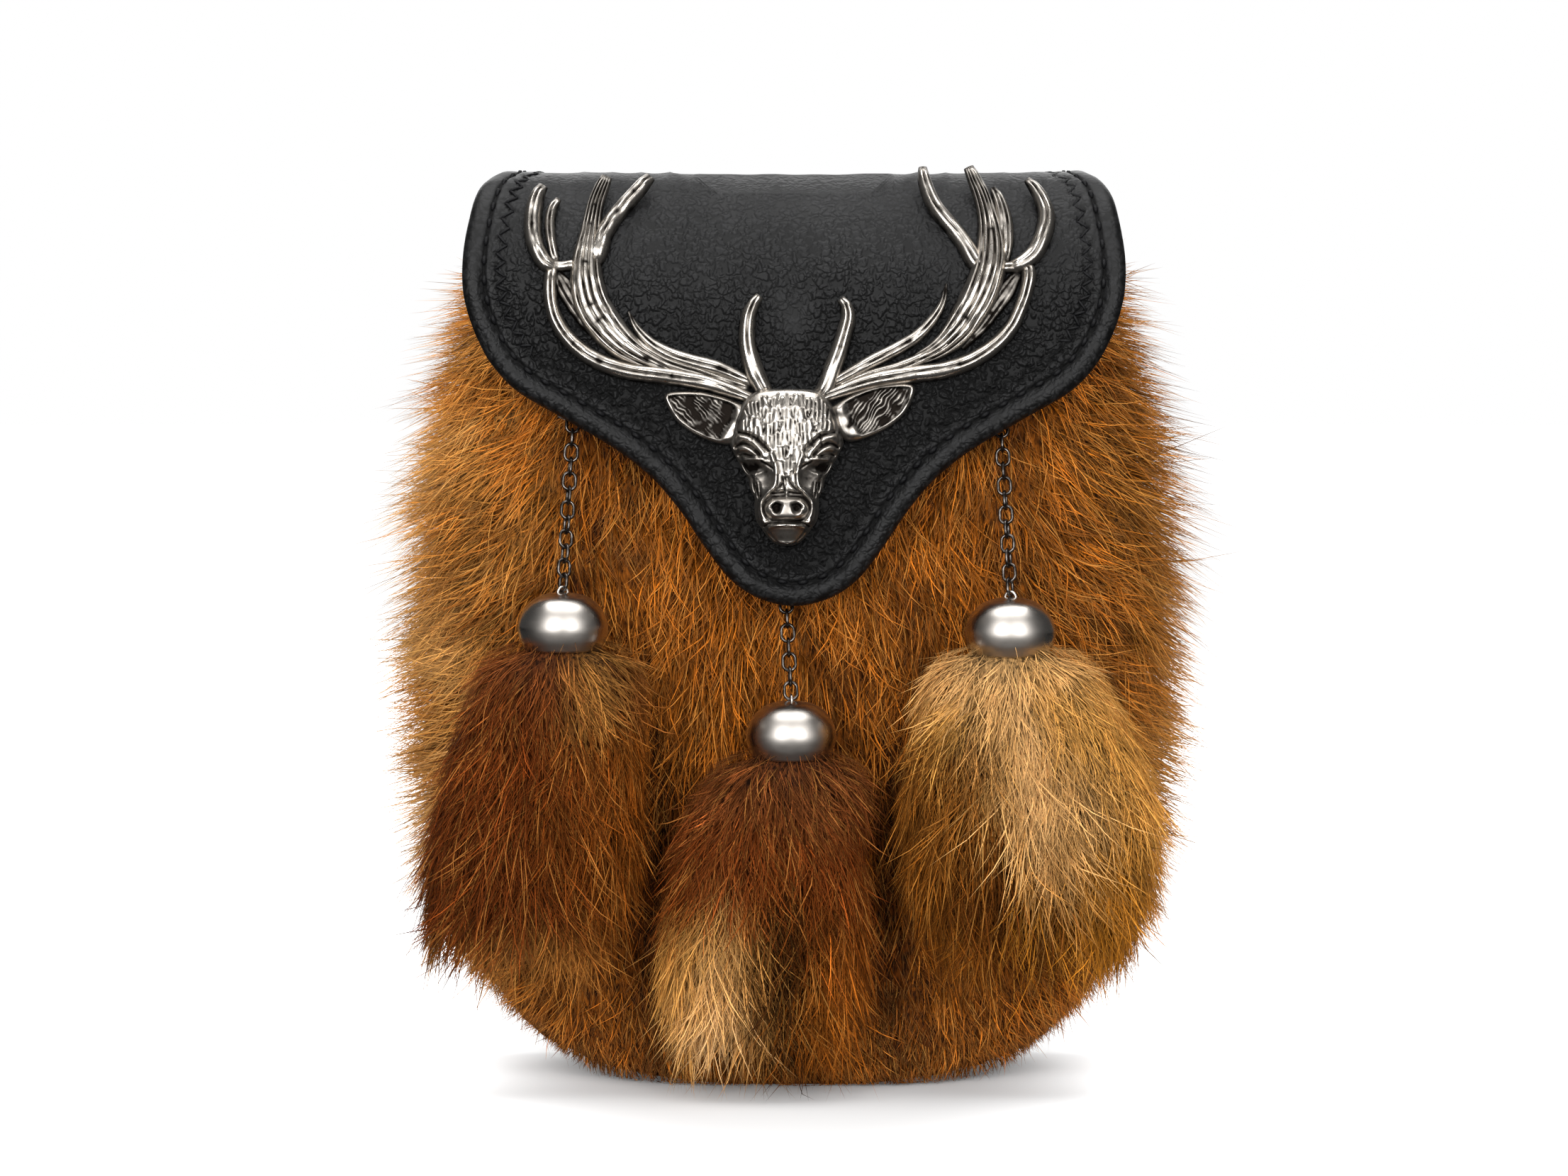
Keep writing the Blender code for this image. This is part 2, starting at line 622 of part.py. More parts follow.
def make_back_panel():
    """The flat leather back, a little larger than the pouch's mouth and hide."""
    sides = [(s.half_width + PANEL_MARGIN, s.height) for s in POUCH_SECTIONS if s.height > PANEL_BOTTOM]
    sides[0] = (sides[0][0], MOUTH_HEIGHT + PANEL_RISE)
    corner = sides[-1][0] - (sides[-1][1] - PANEL_BOTTOM) * 0.5
    sides.append((corner, PANEL_BOTTOM))
    outline = [(-x, z) for x, z in sides] + [(x, z) for x, z in reversed(sides)]
    bm = bmesh.new()
    front = bm.faces.new([bm.verts.new((x, BACK_FACE - LEATHER, z)) for x, z in outline])
    moved = bmesh.ops.extrude_face_region(bm, geom=[front])["geom"]
    bmesh.ops.translate(bm, vec=(0, LEATHER, 0), verts=verts_of(moved))
    face_out(bm)
    return add_object("back_panel", bm, BLACK_LEATHER, smooth=False)


def make_belt_loop(name, middle):
    """A leather strip sewn to the back at its ends, with a slot behind its middle for the belt."""
    back = BACK_FACE + GAP
    outer = back + LOOP_SLOT + LEATHER
    low, high = LOOP_BOTTOM + LOOP_FOOT, LOOP_TOP - LOOP_FOOT  # where the strip leaves the back
    profile = (
        (back, LOOP_BOTTOM), (back + LEATHER, LOOP_BOTTOM),
        (back + LEATHER, low - 1), (outer, low + LOOP_SLOT - 1),
        (outer, high - LOOP_SLOT + 1), (back + LEATHER, high + 1),
        (back + LEATHER, LOOP_TOP), (back, LOOP_TOP),
        (back, high), (outer - LEATHER, high - LOOP_SLOT),
        (outer - LEATHER, low + LOOP_SLOT), (back, low),
    )
    bm = bmesh.new()
    side = bm.faces.new([bm.verts.new((middle - LOOP_WIDTH / 2, y, z)) for y, z in profile])
    moved = bmesh.ops.extrude_face_region(bm, geom=[side])["geom"]
    bmesh.ops.translate(bm, vec=(LOOP_WIDTH, 0, 0), verts=verts_of(moved))
    face_out(bm)
    return add_object(name, bm, BLACK_LEATHER, smooth=False)


# ---- the badge


def add_strand(bm, strand):
    """One strand of an antler, an oval tube that lies on the flap."""
    points = curve_through(strand.knots, 2)
    rings = []
    for i, knot in enumerate(points):
        before, after = points[max(i - 1, 0)], points[min(i + 1, len(points) - 1)]
        run = (after - before).normalized()
        across = Vector((-run.y, run.x)).normalized()
        half = knot.z
        ring = []
        for k in range(STRAND_SIDES):
            angle = 2 * math.pi * (k + 0.5) / STRAND_SIDES
            x = knot.x + across.x * half * math.cos(angle)
            height = knot.y + across.y * half * math.cos(angle)
            lift = BADGE_LIFT + half * STRAND_HEIGHT * (1 + math.sin(angle))
            ring.append(bm.verts.new(on_badge(x, height, lift)))
        rings.append(ring)
    skin_rings(bm, rings)


def add_head(bm):
    """The head, level sections with a rounded front."""
    rings = []
    for s in HEAD_SECTIONS:
        ring = []
        for k in range(HEAD_ARC + 1):
            angle = math.pi * k / HEAD_ARC
            x = s.middle - s.half_width * math.cos(angle)
            lift = BADGE_LIFT + HEAD_EDGE + s.rise * math.sin(angle) ** 0.8
            ring.append(bm.verts.new(on_badge(x, s.height, lift)))
        for side in (HEAD_BACK, -HEAD_BACK):
            x = s.middle + s.half_width * side
            ring.append(bm.verts.new(on_badge(x, s.height, BADGE_LIFT)))
        rings.append(ring)
    skin_rings(bm, rings)


def add_ear(bm, outline):
    """A leaf-shaped ear with a raised rim and a hollow."""
    middle = sum((Vector(p) for p in outline), Vector((0, 0))) / len(outline)
    rings = []
    rim = BADGE_LIFT + EAR_THICKNESS
    for shrink, lift in ((1.0, BADGE_LIFT), (1.0, rim), (0.72, rim), (0.5, rim - EAR_HOLLOW)):
        ring = []
        for point in outline:
            flat = middle + (Vector(point) - middle) * shrink
            ring.append(bm.verts.new(on_badge(flat.x, flat.y, lift)))
        rings.append(ring)
    skin_rings(bm, rings)


def make_badge():
    """Head, ears and antlers, cast as one."""
    body = bmesh.new()
    add_head(body)
    badge = add_object("stag_badge", body, ANTIQUE_SILVER)
    shapes = [(f"left_{s.name}", add_strand, s) for s in LEFT_ANTLER]
    shapes += [(f"right_{s.name}", add_strand, s) for s in RIGHT_ANTLER]
    shapes += [("left_ear", add_ear, LEFT_EAR), ("right_ear", add_ear, RIGHT_EAR)]
    made = []
    for name, add_shape, data in shapes:
        bm = bmesh.new()
        add_shape(bm, data)
        made.append(add_object(name, bm, ANTIQUE_SILVER))
    fuse(badge, made)


# ---- chains, caps and tassels


def link_path():
    """The middle of a link's wire, standing in the XZ plane round the origin."""
    half_length = (LINK_LENGTH - LINK_WIRE) / 2
    half_width = (LINK_WIDTH - LINK_WIRE) / 2
    angles = [2 * math.pi * (k + 0.5) / LINK_POINTS for k in range(LINK_POINTS)]
    return [Vector((half_width * math.sin(a), 0, half_length * math.cos(a))) for a in angles]


def add_wire_ring(bm, path, wire, sides):
    """A closed ring of round wire along a flat path round the origin."""
    normal = (path[0].cross(path[1])).normalized()
    rings = []
    for i, point in enumerate(path):
        run = (path[(i + 1) % len(path)] - path[i - 1]).normalized()
        out = run.cross(normal)
        ring = []
        for k in range(sides):
            angle = 2 * math.pi * k / sides
            ring.append(bm.verts.new(point + (out * math.cos(angle) + normal * math.sin(angle)) * wire / 2))
        rings.append(ring)
    for i, ring in enumerate(rings):
        following = rings[(i + 1) % len(rings)]
        for k in range(sides):
            after = (k + 1) % sides
            bm.faces.new([ring[k], ring[after], following[after], following[k]])
    face_out(bm)


def chain_run(drop):
    """Where a chain bears on its cap's eye, which way it runs from there, and its length between bearings."""
    foot = Vector((drop.cap_x, CAP_Y, drop.cap_top + BEARING))
    length = 2 * LINK_REACH + (drop.links - 1) * LINK_PITCH
    run = Vector((drop.x - drop.cap_x, drop.y - CAP_Y, length)).normalized()
    return foot, run, length


def make_chain(drop):
    """The links of one chain, each turned a quarter against the last, joined where they bear on each."""
    foot, run, length = chain_run(drop)
    lean = Vector((0, 0, 1)).rotation_difference(run).to_matrix().to_4x4()
    shapes = []
    for i in range(drop.links):
        bm = bmesh.new()
        add_wire_ring(bm, link_path(), LINK_WIRE, LINK_SIDES)
        from_top = drop.links - 1 - i
        twist = drop.twist * from_top / (drop.links - 1)
        turn = Matrix.Rotation(twist + math.pi / 2 * (from_top % 2), 4, "Z")
        place = Matrix.Translation(foot + run * (LINK_REACH + i * LINK_PITCH))
        bmesh.ops.transform(bm, matrix=place @ lean @ turn, verts=bm.verts)
        name = f"link_{drop.name}_{i + 1}" if i else f"chain_{drop.name}"
        shapes.append(add_object(name, bm, GUNMETAL))
    fuse(shapes[0], shapes[1:])


def make_eye(name, place, turn, finish):
    """A small ring of wire at a place, turned about the vertical."""
    bm = bmesh.new()
    angles = [2 * math.pi * k / EYE_POINTS for k in range(EYE_POINTS)]
    path = [Vector((EYE_RADIUS * math.sin(a), 0, EYE_RADIUS * math.cos(a))) for a in angles]
    add_wire_ring(bm, path, LINK_WIRE, LINK_SIDES)
    bmesh.ops.transform(bm, matrix=Matrix.Translation(place) @ Matrix.Rotation(turn, 4, "Z"), verts=bm.verts)
    return add_object(name, bm, finish)


def make_cap(drop):
    """A domed, hollow cap with a wire eye on top."""
    bm = bmesh.new()
    inner = [Turn(t.radius - CAP_WALL, t.below_top + CAP_WALL) for t in CAP_PROFILE[1:-1:2]]
    inner.append(Turn(CAP_PROFILE[-1].radius - CAP_WALL, CAP_PROFILE[-1].below_top))
    rings = []
    for turn in [*CAP_PROFILE, *reversed(inner)]:
        ring = []
        for k in range(CAP_SEGMENTS):
            angle = 2 * math.pi * k / CAP_SEGMENTS
            place = (drop.cap_x + turn.radius * math.cos(angle), CAP_Y + turn.radius * math.sin(angle),
                     drop.cap_top - turn.below_top)
            ring.append(bm.verts.new(place))
        rings.append(ring)
    skin_rings(bm, rings)
    cap = add_object(f"cap_{drop.name}", bm, POLISHED_SILVER)
    top = Vector((drop.cap_x, CAP_Y, drop.cap_top))
    first_link = drop.twist + math.pi / 2 * ((drop.links - 1) % 2)
    fuse(cap, [make_eye(f"eye_{drop.name}", top, first_link + math.pi / 2, POLISHED_SILVER)])


def make_staple(drop):
    """A plain plate on the fur under the flap, with the eye that holds the chain's top link."""
    foot, run, length = chain_run(drop)
    place = foot + run * length + Vector((0, 0, BEARING))
    staple = make_eye(f"staple_{drop.name}", place, math.pi / 2, GUNMETAL)
    plate = bmesh.new()
    bmesh.ops.create_cone(plate, cap_ends=True, segments=8, radius1=STAPLE_PLATE, radius2=STAPLE_PLATE,
                          depth=STAPLE_THICKNESS)
    lay = Matrix.Rotation(math.pi / 2, 4, "X")
    behind = Matrix.Translation(place + Vector((0, EYE_RADIUS + STAPLE_THICKNESS / 2, STAPLE_RAISE)))
    bmesh.ops.transform(plate, matrix=behind @ lay, verts=plate.verts)
    fuse(staple, [add_object(f"plate_{drop.name}", plate, GUNMETAL)])


def tassel_ring(bm, section, squareness):
    """The points of a level section of a tassel."""
    depth_middle, half_depth = (section.front + section.back) / 2, (section.back - section.front) / 2
    ring = []
    for k in range(TASSEL_SEGMENTS):
        angle = 2 * math.pi * (k + 0.5) / TASSEL_SEGMENTS
        across = math.copysign(abs(math.cos(angle)) ** squareness, math.cos(angle))
        deep = math.copysign(abs(math.sin(angle)) ** squareness, math.sin(angle))
        x = section.middle + section.half_width * across
        ring.append(bm.verts.new((x, depth_middle + half_depth * deep, section.height)))
    return ring


def make_tassel(drop, sections):
    """A fur tassel: a neck held in the cap, and locks below it that lie over one another, the last ones free."""
    cap_foot = drop.cap_top - CAP_HEIGHT
    neck = [
        TasselSection(height, drop.cap_x, NECK_RADIUS, CAP_Y - NECK_RADIUS, CAP_Y + NECK_RADIUS)
        for height in (cap_foot + NECK_RISE, cap_foot - GAP)
    ]
    bm = bmesh.new()
    rings = [tassel_ring(bm, s, 1.0) for s in neck]
    rings += [tassel_ring(bm, s, TASSEL_SQUARENESS) for s in sections]
    skin_rings(bm, rings)
    hanging = [f for f in bm.faces if len(f.verts) == 4 and f.calc_center_median().z < sections[0].height]
    foot = min(bm.faces, key=lambda f: f.calc_center_median().z)
    bmesh.ops.inset_individual(bm, faces=[foot], thickness=TASSEL_HOLLOW)
    bmesh.ops.translate(bm, vec=(0, 0, TASSEL_HOLLOW), verts=foot.verts)
    for face in hanging:
        centre, normal = face.calc_center_median(), face.normal.copy()
        last = centre.z < sections[-2].height
        way = Vector((normal.x * TASSEL_SPREAD, 0, -1)).normalized()
        if normal.y < 0.3:
            reach = TASSEL_TIP_DROP if last else TASSEL_LOCK_DROP
            grow_lock(bm, face, TASSEL_ROOT_LIFT, TASSEL_LOCK_LIFT, reach, way, floor=TASSEL_FLOOR)
        elif last:
            grow_lock(bm, face, TASSEL_BACK_LIFT, TASSEL_BACK_LIFT, TASSEL_TIP_DROP, way, floor=TASSEL_FLOOR)
    bmesh.ops.triangulate(bm, faces=bm.faces)
    return add_object(f"tassel_{drop.name}", bm, TAN_FUR if drop.name == "right" else DARK_FUR)


def main():
    clear_scene()
    make_back_panel()
    make_fur_pouch()
    make_flap_panel()
    make_flap_piping()
    make_badge()
    make_belt_loop("belt_loop_left", -LOOP_X)
    make_belt_loop("belt_loop_right", LOOP_X)
    for drop in DROPS:
        make_chain(drop)
        make_cap(drop)
        make_staple(drop)
        make_tassel(drop, TASSELS[drop.name])


main()
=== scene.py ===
"""Sporran pouch: the dressed model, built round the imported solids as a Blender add-on run as a script.

Fur of the pouch and its tassels, the leather flap with its rolled edge and stitching, the cast stag's head,
chains, domed caps, leather back and a plain studio. Tables and functions work in millimetres in the frame of
the solids: +Z up, the front towards -Y, the origin under the middle of the pouch. MM turns them to metres.
"""

import math
from collections import namedtuple

import bmesh
import bpy
import numpy as np
from mathutils import Matrix, Vector


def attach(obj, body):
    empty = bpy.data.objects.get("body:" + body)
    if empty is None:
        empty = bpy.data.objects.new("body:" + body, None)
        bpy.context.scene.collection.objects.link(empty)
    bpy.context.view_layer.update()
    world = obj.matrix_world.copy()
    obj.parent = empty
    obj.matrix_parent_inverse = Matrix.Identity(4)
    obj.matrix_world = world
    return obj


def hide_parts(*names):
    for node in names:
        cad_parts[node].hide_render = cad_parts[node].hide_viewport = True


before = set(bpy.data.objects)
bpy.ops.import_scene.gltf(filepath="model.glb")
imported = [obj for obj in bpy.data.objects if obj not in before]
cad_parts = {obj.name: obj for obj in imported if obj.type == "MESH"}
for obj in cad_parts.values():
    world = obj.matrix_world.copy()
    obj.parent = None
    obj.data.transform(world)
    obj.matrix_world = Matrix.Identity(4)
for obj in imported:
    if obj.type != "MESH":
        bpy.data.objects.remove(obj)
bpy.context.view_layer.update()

bl_info = {
    "name": "Sporran pouch",
    "version": (1, 0, 0),
    "blender": (4, 5, 0),
    "location": "3D View > Sidebar > Sporran",
    "description": "Dresses the solids of a sporran pouch with fur, leather and cast metal",
    "category": "Object",
}

MM = 0.001
BODY = "root"


# ---- colour, nodes and meshes


def linear(hex_colour):
    """An sRGB hex colour as linear red, green, blue and alpha."""
    channels = [int(hex_colour[i : i + 2], 16) / 255 for i in (1, 3, 5)]
    return (*[c / 12.92 if c <= 0.04045 else ((c + 0.055) / 1.055) ** 2.4 for c in channels], 1.0)


def shaded(colour, share):
    """A colour made darker, with its alpha kept."""
    return [c * share for c in colour[:3]] + [1]


def set_inputs(node, inputs):
    """Feeds a node's inputs with values, with sockets, or with nodes, which stand for their first output."""
    for name, value in inputs.items():
        if isinstance(value, bpy.types.Node):
            value = value.outputs[0]
        if isinstance(value, bpy.types.NodeSocket):
            node.id_data.links.new(value, node.inputs[name])
        else:
            node.inputs[name].default_value = value


def add_node(tree, kind, inputs=None, **settings):
    """Adds a node with its settings and its inputs."""
    node = tree.nodes.new("ShaderNode" + kind)
    for name, value in settings.items():
        setattr(node, name, value)
    set_inputs(node, inputs or {})
    return node


def new_material(name, inputs):
    """A material with its tree and its shader, whose own sockets take the values."""
    material = bpy.data.materials.new(name)
    material.use_nodes = True
    shader = material.node_tree.nodes["Principled BSDF"]
    set_inputs(shader, inputs)
    return material, material.node_tree, shader


def add_object(name, mesh, material):
    """A smooth object of a finished mesh."""
    mesh.shade_smooth()
    mesh.materials.append(material)
    made = bpy.data.objects.new(name, mesh)
    bpy.context.scene.collection.objects.link(made)
    return made


def array_object(name, points, faces, material):
    """An object from arrays: points in millimetres, and faces of three or four corners."""
    corners = np.concatenate([f.ravel() for f in faces]).astype(np.int32)
    sizes = np.concatenate([np.full(len(f), f.shape[1]) for f in faces])
    mesh = bpy.data.meshes.new(name)
    mesh.vertices.add(len(points))
    mesh.vertices.foreach_set("co", (np.asarray(points) * MM).astype(np.float32).ravel())
    mesh.loops.add(len(corners))
    mesh.loops.foreach_set("vertex_index", corners)
    mesh.polygons.add(len(sizes))
    mesh.polygons.foreach_set("loop_start", np.concatenate([[0], np.cumsum(sizes)[:-1]]).astype(np.int32))
    mesh.update(calc_edges=True)
    return add_object(name, mesh, material)


def turn_faces(bm):
    """Turns the faces of a closed bmesh outwards."""
    bmesh.ops.recalc_face_normals(bm, faces=bm.faces)
    if bm.calc_volume(signed=True) < 0:
        bmesh.ops.reverse_faces(bm, faces=bm.faces)


def bmesh_object(name, bm, material, smooth_below=math.radians(50)):
    """An object from a bmesh in millimetres."""
    turn_faces(bm)
    bmesh.ops.scale(bm, vec=Vector((MM, MM, MM)), verts=bm.verts)
    mesh = bpy.data.meshes.new(name)
    bm.to_mesh(mesh)
    bm.free()
    made = add_object(name, mesh, material)
    mesh.set_sharp_from_angle(angle=smooth_below)
    return made


def close_up(made):
    """Fills the holes of a mesh and turns its faces outwards."""
    bm = bmesh.new()
    bm.from_mesh(made.data)
    bmesh.ops.holes_fill(bm, edges=[e for e in bm.edges if e.is_boundary], sides=0)
    turn_faces(bm)
    bm.to_mesh(made.data)
    bm.free()
    made.data.shade_smooth()


def point_values(made, name, values):
    """Stores one number for each point of a mesh, or one colour."""
    values = np.asarray(values, np.float32)
    if values.ndim == 1:
        made.data.attributes.new(name, "FLOAT", "POINT").data.foreach_set("value", values)
        return
    values = np.hstack([values, np.ones((len(values), 1), np.float32)])
    made.data.color_attributes.new(name, "FLOAT_COLOR", "POINT").data.foreach_set("color", values.ravel())


def settle(made, slot, *nodes):
    """Puts a finished piece on the body and hides the solids that it stands for. Its finish, slot, is not
    used.
    """
    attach(made, BODY)
    if nodes:
        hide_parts(*nodes)


def table(columns, *rows):
    """A table with named columns."""
    row_of = namedtuple("Row", columns)
    return [row_of(*row) for row in rows]


# ---- faces of grids of points


def grid_faces(rows, columns, closed=False):
    """Quads of a grid of points, row after row. A closed grid joins its last column to its first."""
    r, c = np.meshgrid(np.arange(rows - 1), np.arange(columns if closed else columns - 1), indexing="ij")
    after = (c + 1) % columns
    quads = [r * columns + c, r * columns + after, (r + 1) * columns + after, (r + 1) * columns + c]
    return np.stack(quads, axis=-1).reshape(-1, 4)


def strip(a, b):
    """Quads between two lines of points."""
    return np.stack([a[:-1], a[1:], b[1:], b[:-1]], axis=1)


def fan(ring, hub):
    """Triangles from a ring of points to the one in its middle."""
    return np.stack([ring, np.roll(ring, -1), np.full(len(ring), hub)], axis=1)


def copies_of(faces, count, points_each):
    """The faces of that many copies of a piece, whose points follow one another."""
    faces = np.asarray(faces)
    starts = np.arange(count)[:, None, None] * points_each
    return (faces[None] + starts).reshape(-1, faces.shape[-1])


# ---- curves and smooth noise


def curve_through(knots, per_span):
    """Points of a Catmull-Rom curve through the knots."""
    knots = np.asarray(knots, float)
    padded = np.vstack([2 * knots[0] - knots[1], knots, 2 * knots[-1] - knots[-2]])
    t = np.arange(per_span)[:, None] / per_span
    spans = []
    for a, b, c, d in zip(padded, padded[1:], padded[2:], padded[3:]):
        cubic = (2 * a - 5 * b + 4 * c - d) * t**2 + (3 * b - a - 3 * c + d) * t**3
        spans.append(0.5 * (2 * b + (c - a) * t + cubic))
    return np.vstack([*spans, knots[-1:]])


def lengths_along(points):
    """The length of a line of points up to each of them."""
    return np.concatenate([[0.0], np.cumsum(np.linalg.norm(np.diff(points, axis=0), axis=1))])


def points_at(points, at):
    """The points that far along a line of points."""
    lengths = lengths_along(points)
    return np.stack([np.interp(at, lengths, column) for column in points.T], axis=1)


def resample(points, count):
    """That many points, equally spaced along a line of points."""
    return points_at(points, np.linspace(0, lengths_along(points)[-1], count))


def unit(vectors):
    """Vectors drawn out or shortened to a length of 1."""
    return vectors / np.maximum(np.linalg.norm(vectors, axis=-1, keepdims=True), 1e-9)


def turned_left(line):
    """The way to the left of a flat line at each of its points."""
    run = unit(np.gradient(line, axis=0))
    return np.stack([-run[:, 1], run[:, 0]], axis=1)


def rising(low, high, value):
    """From 0 at the low value to 1 at the high one, smoothly."""
    share = np.clip((value - low) / (high - low), 0, 1)
    return share * share * (3 - 2 * share)


def falling(low, high, value):
    """From 1 at the low value to 0 at the high one, smoothly."""
    return 1 - rising(low, high, value)


def hump(value, middle, width, power=2):
    """1 at the middle, dying away on both sides of it."""
    return np.exp(-(np.abs((value - middle) / width) ** power))


def wander(points, size, seed):
    """Smooth noise from about -1 to 1, which changes over that many millimetres."""
    points = np.asarray(points, float)
    rng = np.random.default_rng(seed)
    waves = rng.normal(size=(14, points.shape[-1])) * 2.4 / size
    phases = rng.uniform(0, 2 * math.pi, 14)
    return np.sin(points @ waves.T + phases).sum(-1) / 3.2


def segment_distance(places, a, b):
    """How far flat places are from the straight line between two points."""
    share = np.clip(((places - a) @ (b - a)) / max((b - a) @ (b - a), 1e-9), 0, 1)
    return np.linalg.norm(places - a - share[:, None] * (b - a), axis=1)


def line_distance(places, line):
    """How far flat places are from a line of points."""
    line = np.asarray(line, float)
    return np.min([segment_distance(places, a, b) for a, b in zip(line, line[1:])], axis=0)


# ---- the flap's surface, as the solids have it

FLAP_PROFILE = table(
    "y height",
    (26.6, 148), (26.6, 162), (26.4, 175), (23.2, 185.5), (14.8, 191.4), (3.0, 193.6), (-8.2, 191.0),
    (-15.8, 183.4), (-20.8, 172), (-23.9, 158), (-26.2, 140), (-27.8, 120), (-28.6, 101),
)
CREST = 5  # index of the highest row
FLAP_THICKNESS = 3.0
SIDE_SWEEP = 3.5  # how far the flap's sides lie back from its middle
SWEEP_AT = 70.0
SWEEP_FROM, SWEEP_TO = 195.0, 160.0

FRONT_EDGE = table(
    "height half_width",
    (192.4, 65.6), (189.5, 67.4), (184.0, 68.7), (176.0, 69.8), (169.0, 69.7), (163.2, 68.5),
    (157.6, 66.3), (152.4, 63.2), (147.0, 57.8), (141.0, 47.4), (135.0, 37.2), (129.0, 29.6), (122.0, 23.6),
    (115.0, 18.9), (108.0, 13.4), (104.0, 7.4),
)
CREST_HALF_WIDTH = 63.0
BACK_EDGE = table("height half_width", (184.0, 60.2), (165.0, 58.6), (149.5, 58.0))
TIP_HEIGHT = 102.4
EDGE_HEIGHTS, EDGE_WIDTHS = zip((TIP_HEIGHT, 0.0), *reversed(FRONT_EDGE))

PROFILE_STEPS = 40
PROFILE = curve_through(FLAP_PROFILE, PROFILE_STEPS)
PROFILE_LENGTHS = lengths_along(PROFILE)
CREST_LENGTH = PROFILE_LENGTHS[CREST * PROFILE_STEPS]
FRONT_HALF = PROFILE_LENGTHS >= CREST_LENGTH
BACK_HALF = PROFILE_LENGTHS <= CREST_LENGTH


def along_at_height(height, front=True):
    """How far from the crest, along the leather, the flap's middle reaches a height. It's negative behind."""
    if front:
        return np.interp(-np.asarray(height), -PROFILE[FRONT_HALF, 1],
                         PROFILE_LENGTHS[FRONT_HALF] - CREST_LENGTH)
    return np.interp(height, PROFILE[BACK_HALF, 1], PROFILE_LENGTHS[BACK_HALF] - CREST_LENGTH)


def flap_face(x, along):
    """Points of the flap's outer face at x, that far along the leather from the crest."""
    x, along = np.broadcast_arrays(np.asarray(x, float), np.asarray(along, float))
    y = np.interp(along + CREST_LENGTH, PROFILE_LENGTHS, PROFILE[:, 0])
    height = np.interp(along + CREST_LENGTH, PROFILE_LENGTHS, PROFILE[:, 1])
    share = np.clip((SWEEP_FROM - height) / (SWEEP_FROM - SWEEP_TO), 0, 1) * (along > 0)
    return np.stack([x, y + SIDE_SWEEP * share * (x / SWEEP_AT) ** 2, height], axis=-1)


def flap_normals(x, along):
    """The way out of the flap's outer face."""
    step = 1.0
    across = flap_face(x + step, along) - flap_face(x - step, along)
    down = flap_face(x, along + step) - flap_face(x, along - step)
    return unit(np.cross(down, across))


def on_flap(x, along, lift):
    """Points off the flap's outer face by that much."""
    return flap_face(x, along) + flap_normals(x, along) * np.asarray(lift)[..., None]


def flap_outline(count):
    """The flap's outline, flat, as (x, along) from the back's left corner round the tip to the right one."""
    right = [(e.half_width, along_at_height(e.height, front=False)) for e in reversed(BACK_EDGE)]
    right.append((CREST_HALF_WIDTH, 0.0))
    right += [(e.half_width, along_at_height(e.height)) for e in FRONT_EDGE]
    left = [(-x, along) for x, along in right]
    return resample(curve_through([*left, (0.0, along_at_height(TIP_HEIGHT)), *reversed(right)], 24), count)


def behind_flap(x, height, margin):
    """Where a place seen from the front lies behind the flap."""
    reach = np.interp(height, EDGE_HEIGHTS, EDGE_WIDTHS) + margin
    return (height > TIP_HEIGHT - margin) & (np.abs(x) < reach)


# ---- hair, as closed tapered strands

SIDES = 3  # of a strand
FLATNESS = 0.62


def strand_object(name, middles, widths, facing, tints, material):
    """Joined strands. Each is a three-sided tube along its middle that ends in a point.

    middles: strands x stations x 3; widths: half width at all stations but the last; facing: the way its
    flat side looks; tints: strands x stations x 3.
    """
    count, stations, _ = middles.shape
    run = unit(np.gradient(middles, axis=1))
    across = unit(np.cross(run, facing[:, None, :]))
    depth = np.cross(run, across)
    angles = (np.arange(SIDES) * 2 * math.pi / SIDES + math.pi / 2)[None, None, :, None]
    rings = stations - 1
    ring = np.cos(angles) * across[:, :rings, None, :] + FLATNESS * np.sin(angles) * depth[:, :rings, None, :]
    ring = middles[:, :rings, None, :] + widths[:, :, None, None] * ring
    points = np.concatenate([ring.reshape(count, rings * SIDES, 3), middles[:, -1:, :]], axis=1)
    quads, last, tip = grid_faces(rings, SIDES, closed=True), (rings - 1) * SIDES, rings * SIDES
    ends = [[0, 2, 1], *[[last + k, last + (k + 1) % SIDES, tip] for k in range(SIDES)]]
    faces = [copies_of(part, count, tip + 1) for part in (quads, ends)]
    made = array_object(name, points.reshape(-1, 3), faces, material)
    colours = np.repeat(tints[:, :rings, None, :], SIDES, axis=2).reshape(count, tip, 3)
    point_values(made, "tint", np.concatenate([colours, tints[:, -1:, :]], axis=1).reshape(-1, 3))
    lay_out_strands(made, count, rings, len(quads))
    return made


def lay_out_strands(made, count, rings, quads):
    """A UV map with a small square for each strand: its sides from left to right, its length upwards."""
    squares = math.ceil(math.sqrt(count))
    row, k = np.divmod(np.arange(quads), SIDES)
    low, high, left, right = row / rings, (row + 1) / rings, k / SIDES, (k + 1) / SIDES
    around = ((left, low), (right, low), (right, high), (left, high))
    sides = np.stack([np.stack(corner, -1) for corner in around], 1)
    top = (rings - 1) / rings
    ends = [[(0.3, 0.0), (0.6, 0.0), (0.45, 0.02)]]
    ends += [[(k / SIDES, top), ((k + 1) / SIDES, top), ((k + 0.5) / SIDES, 1.0)] for k in range(SIDES)]
    cell = np.stack([np.arange(count) % squares, np.arange(count) // squares], axis=-1)[:, None, None, :]
    laid = [((cell + 0.06 + 0.88 * np.array(part)[None]) / squares).ravel() for part in (sides, ends)]
    layer = made.data.uv_layers.new(name="OFBake")
    layer.data.foreach_set("uv", np.concatenate(laid).astype(np.float32))


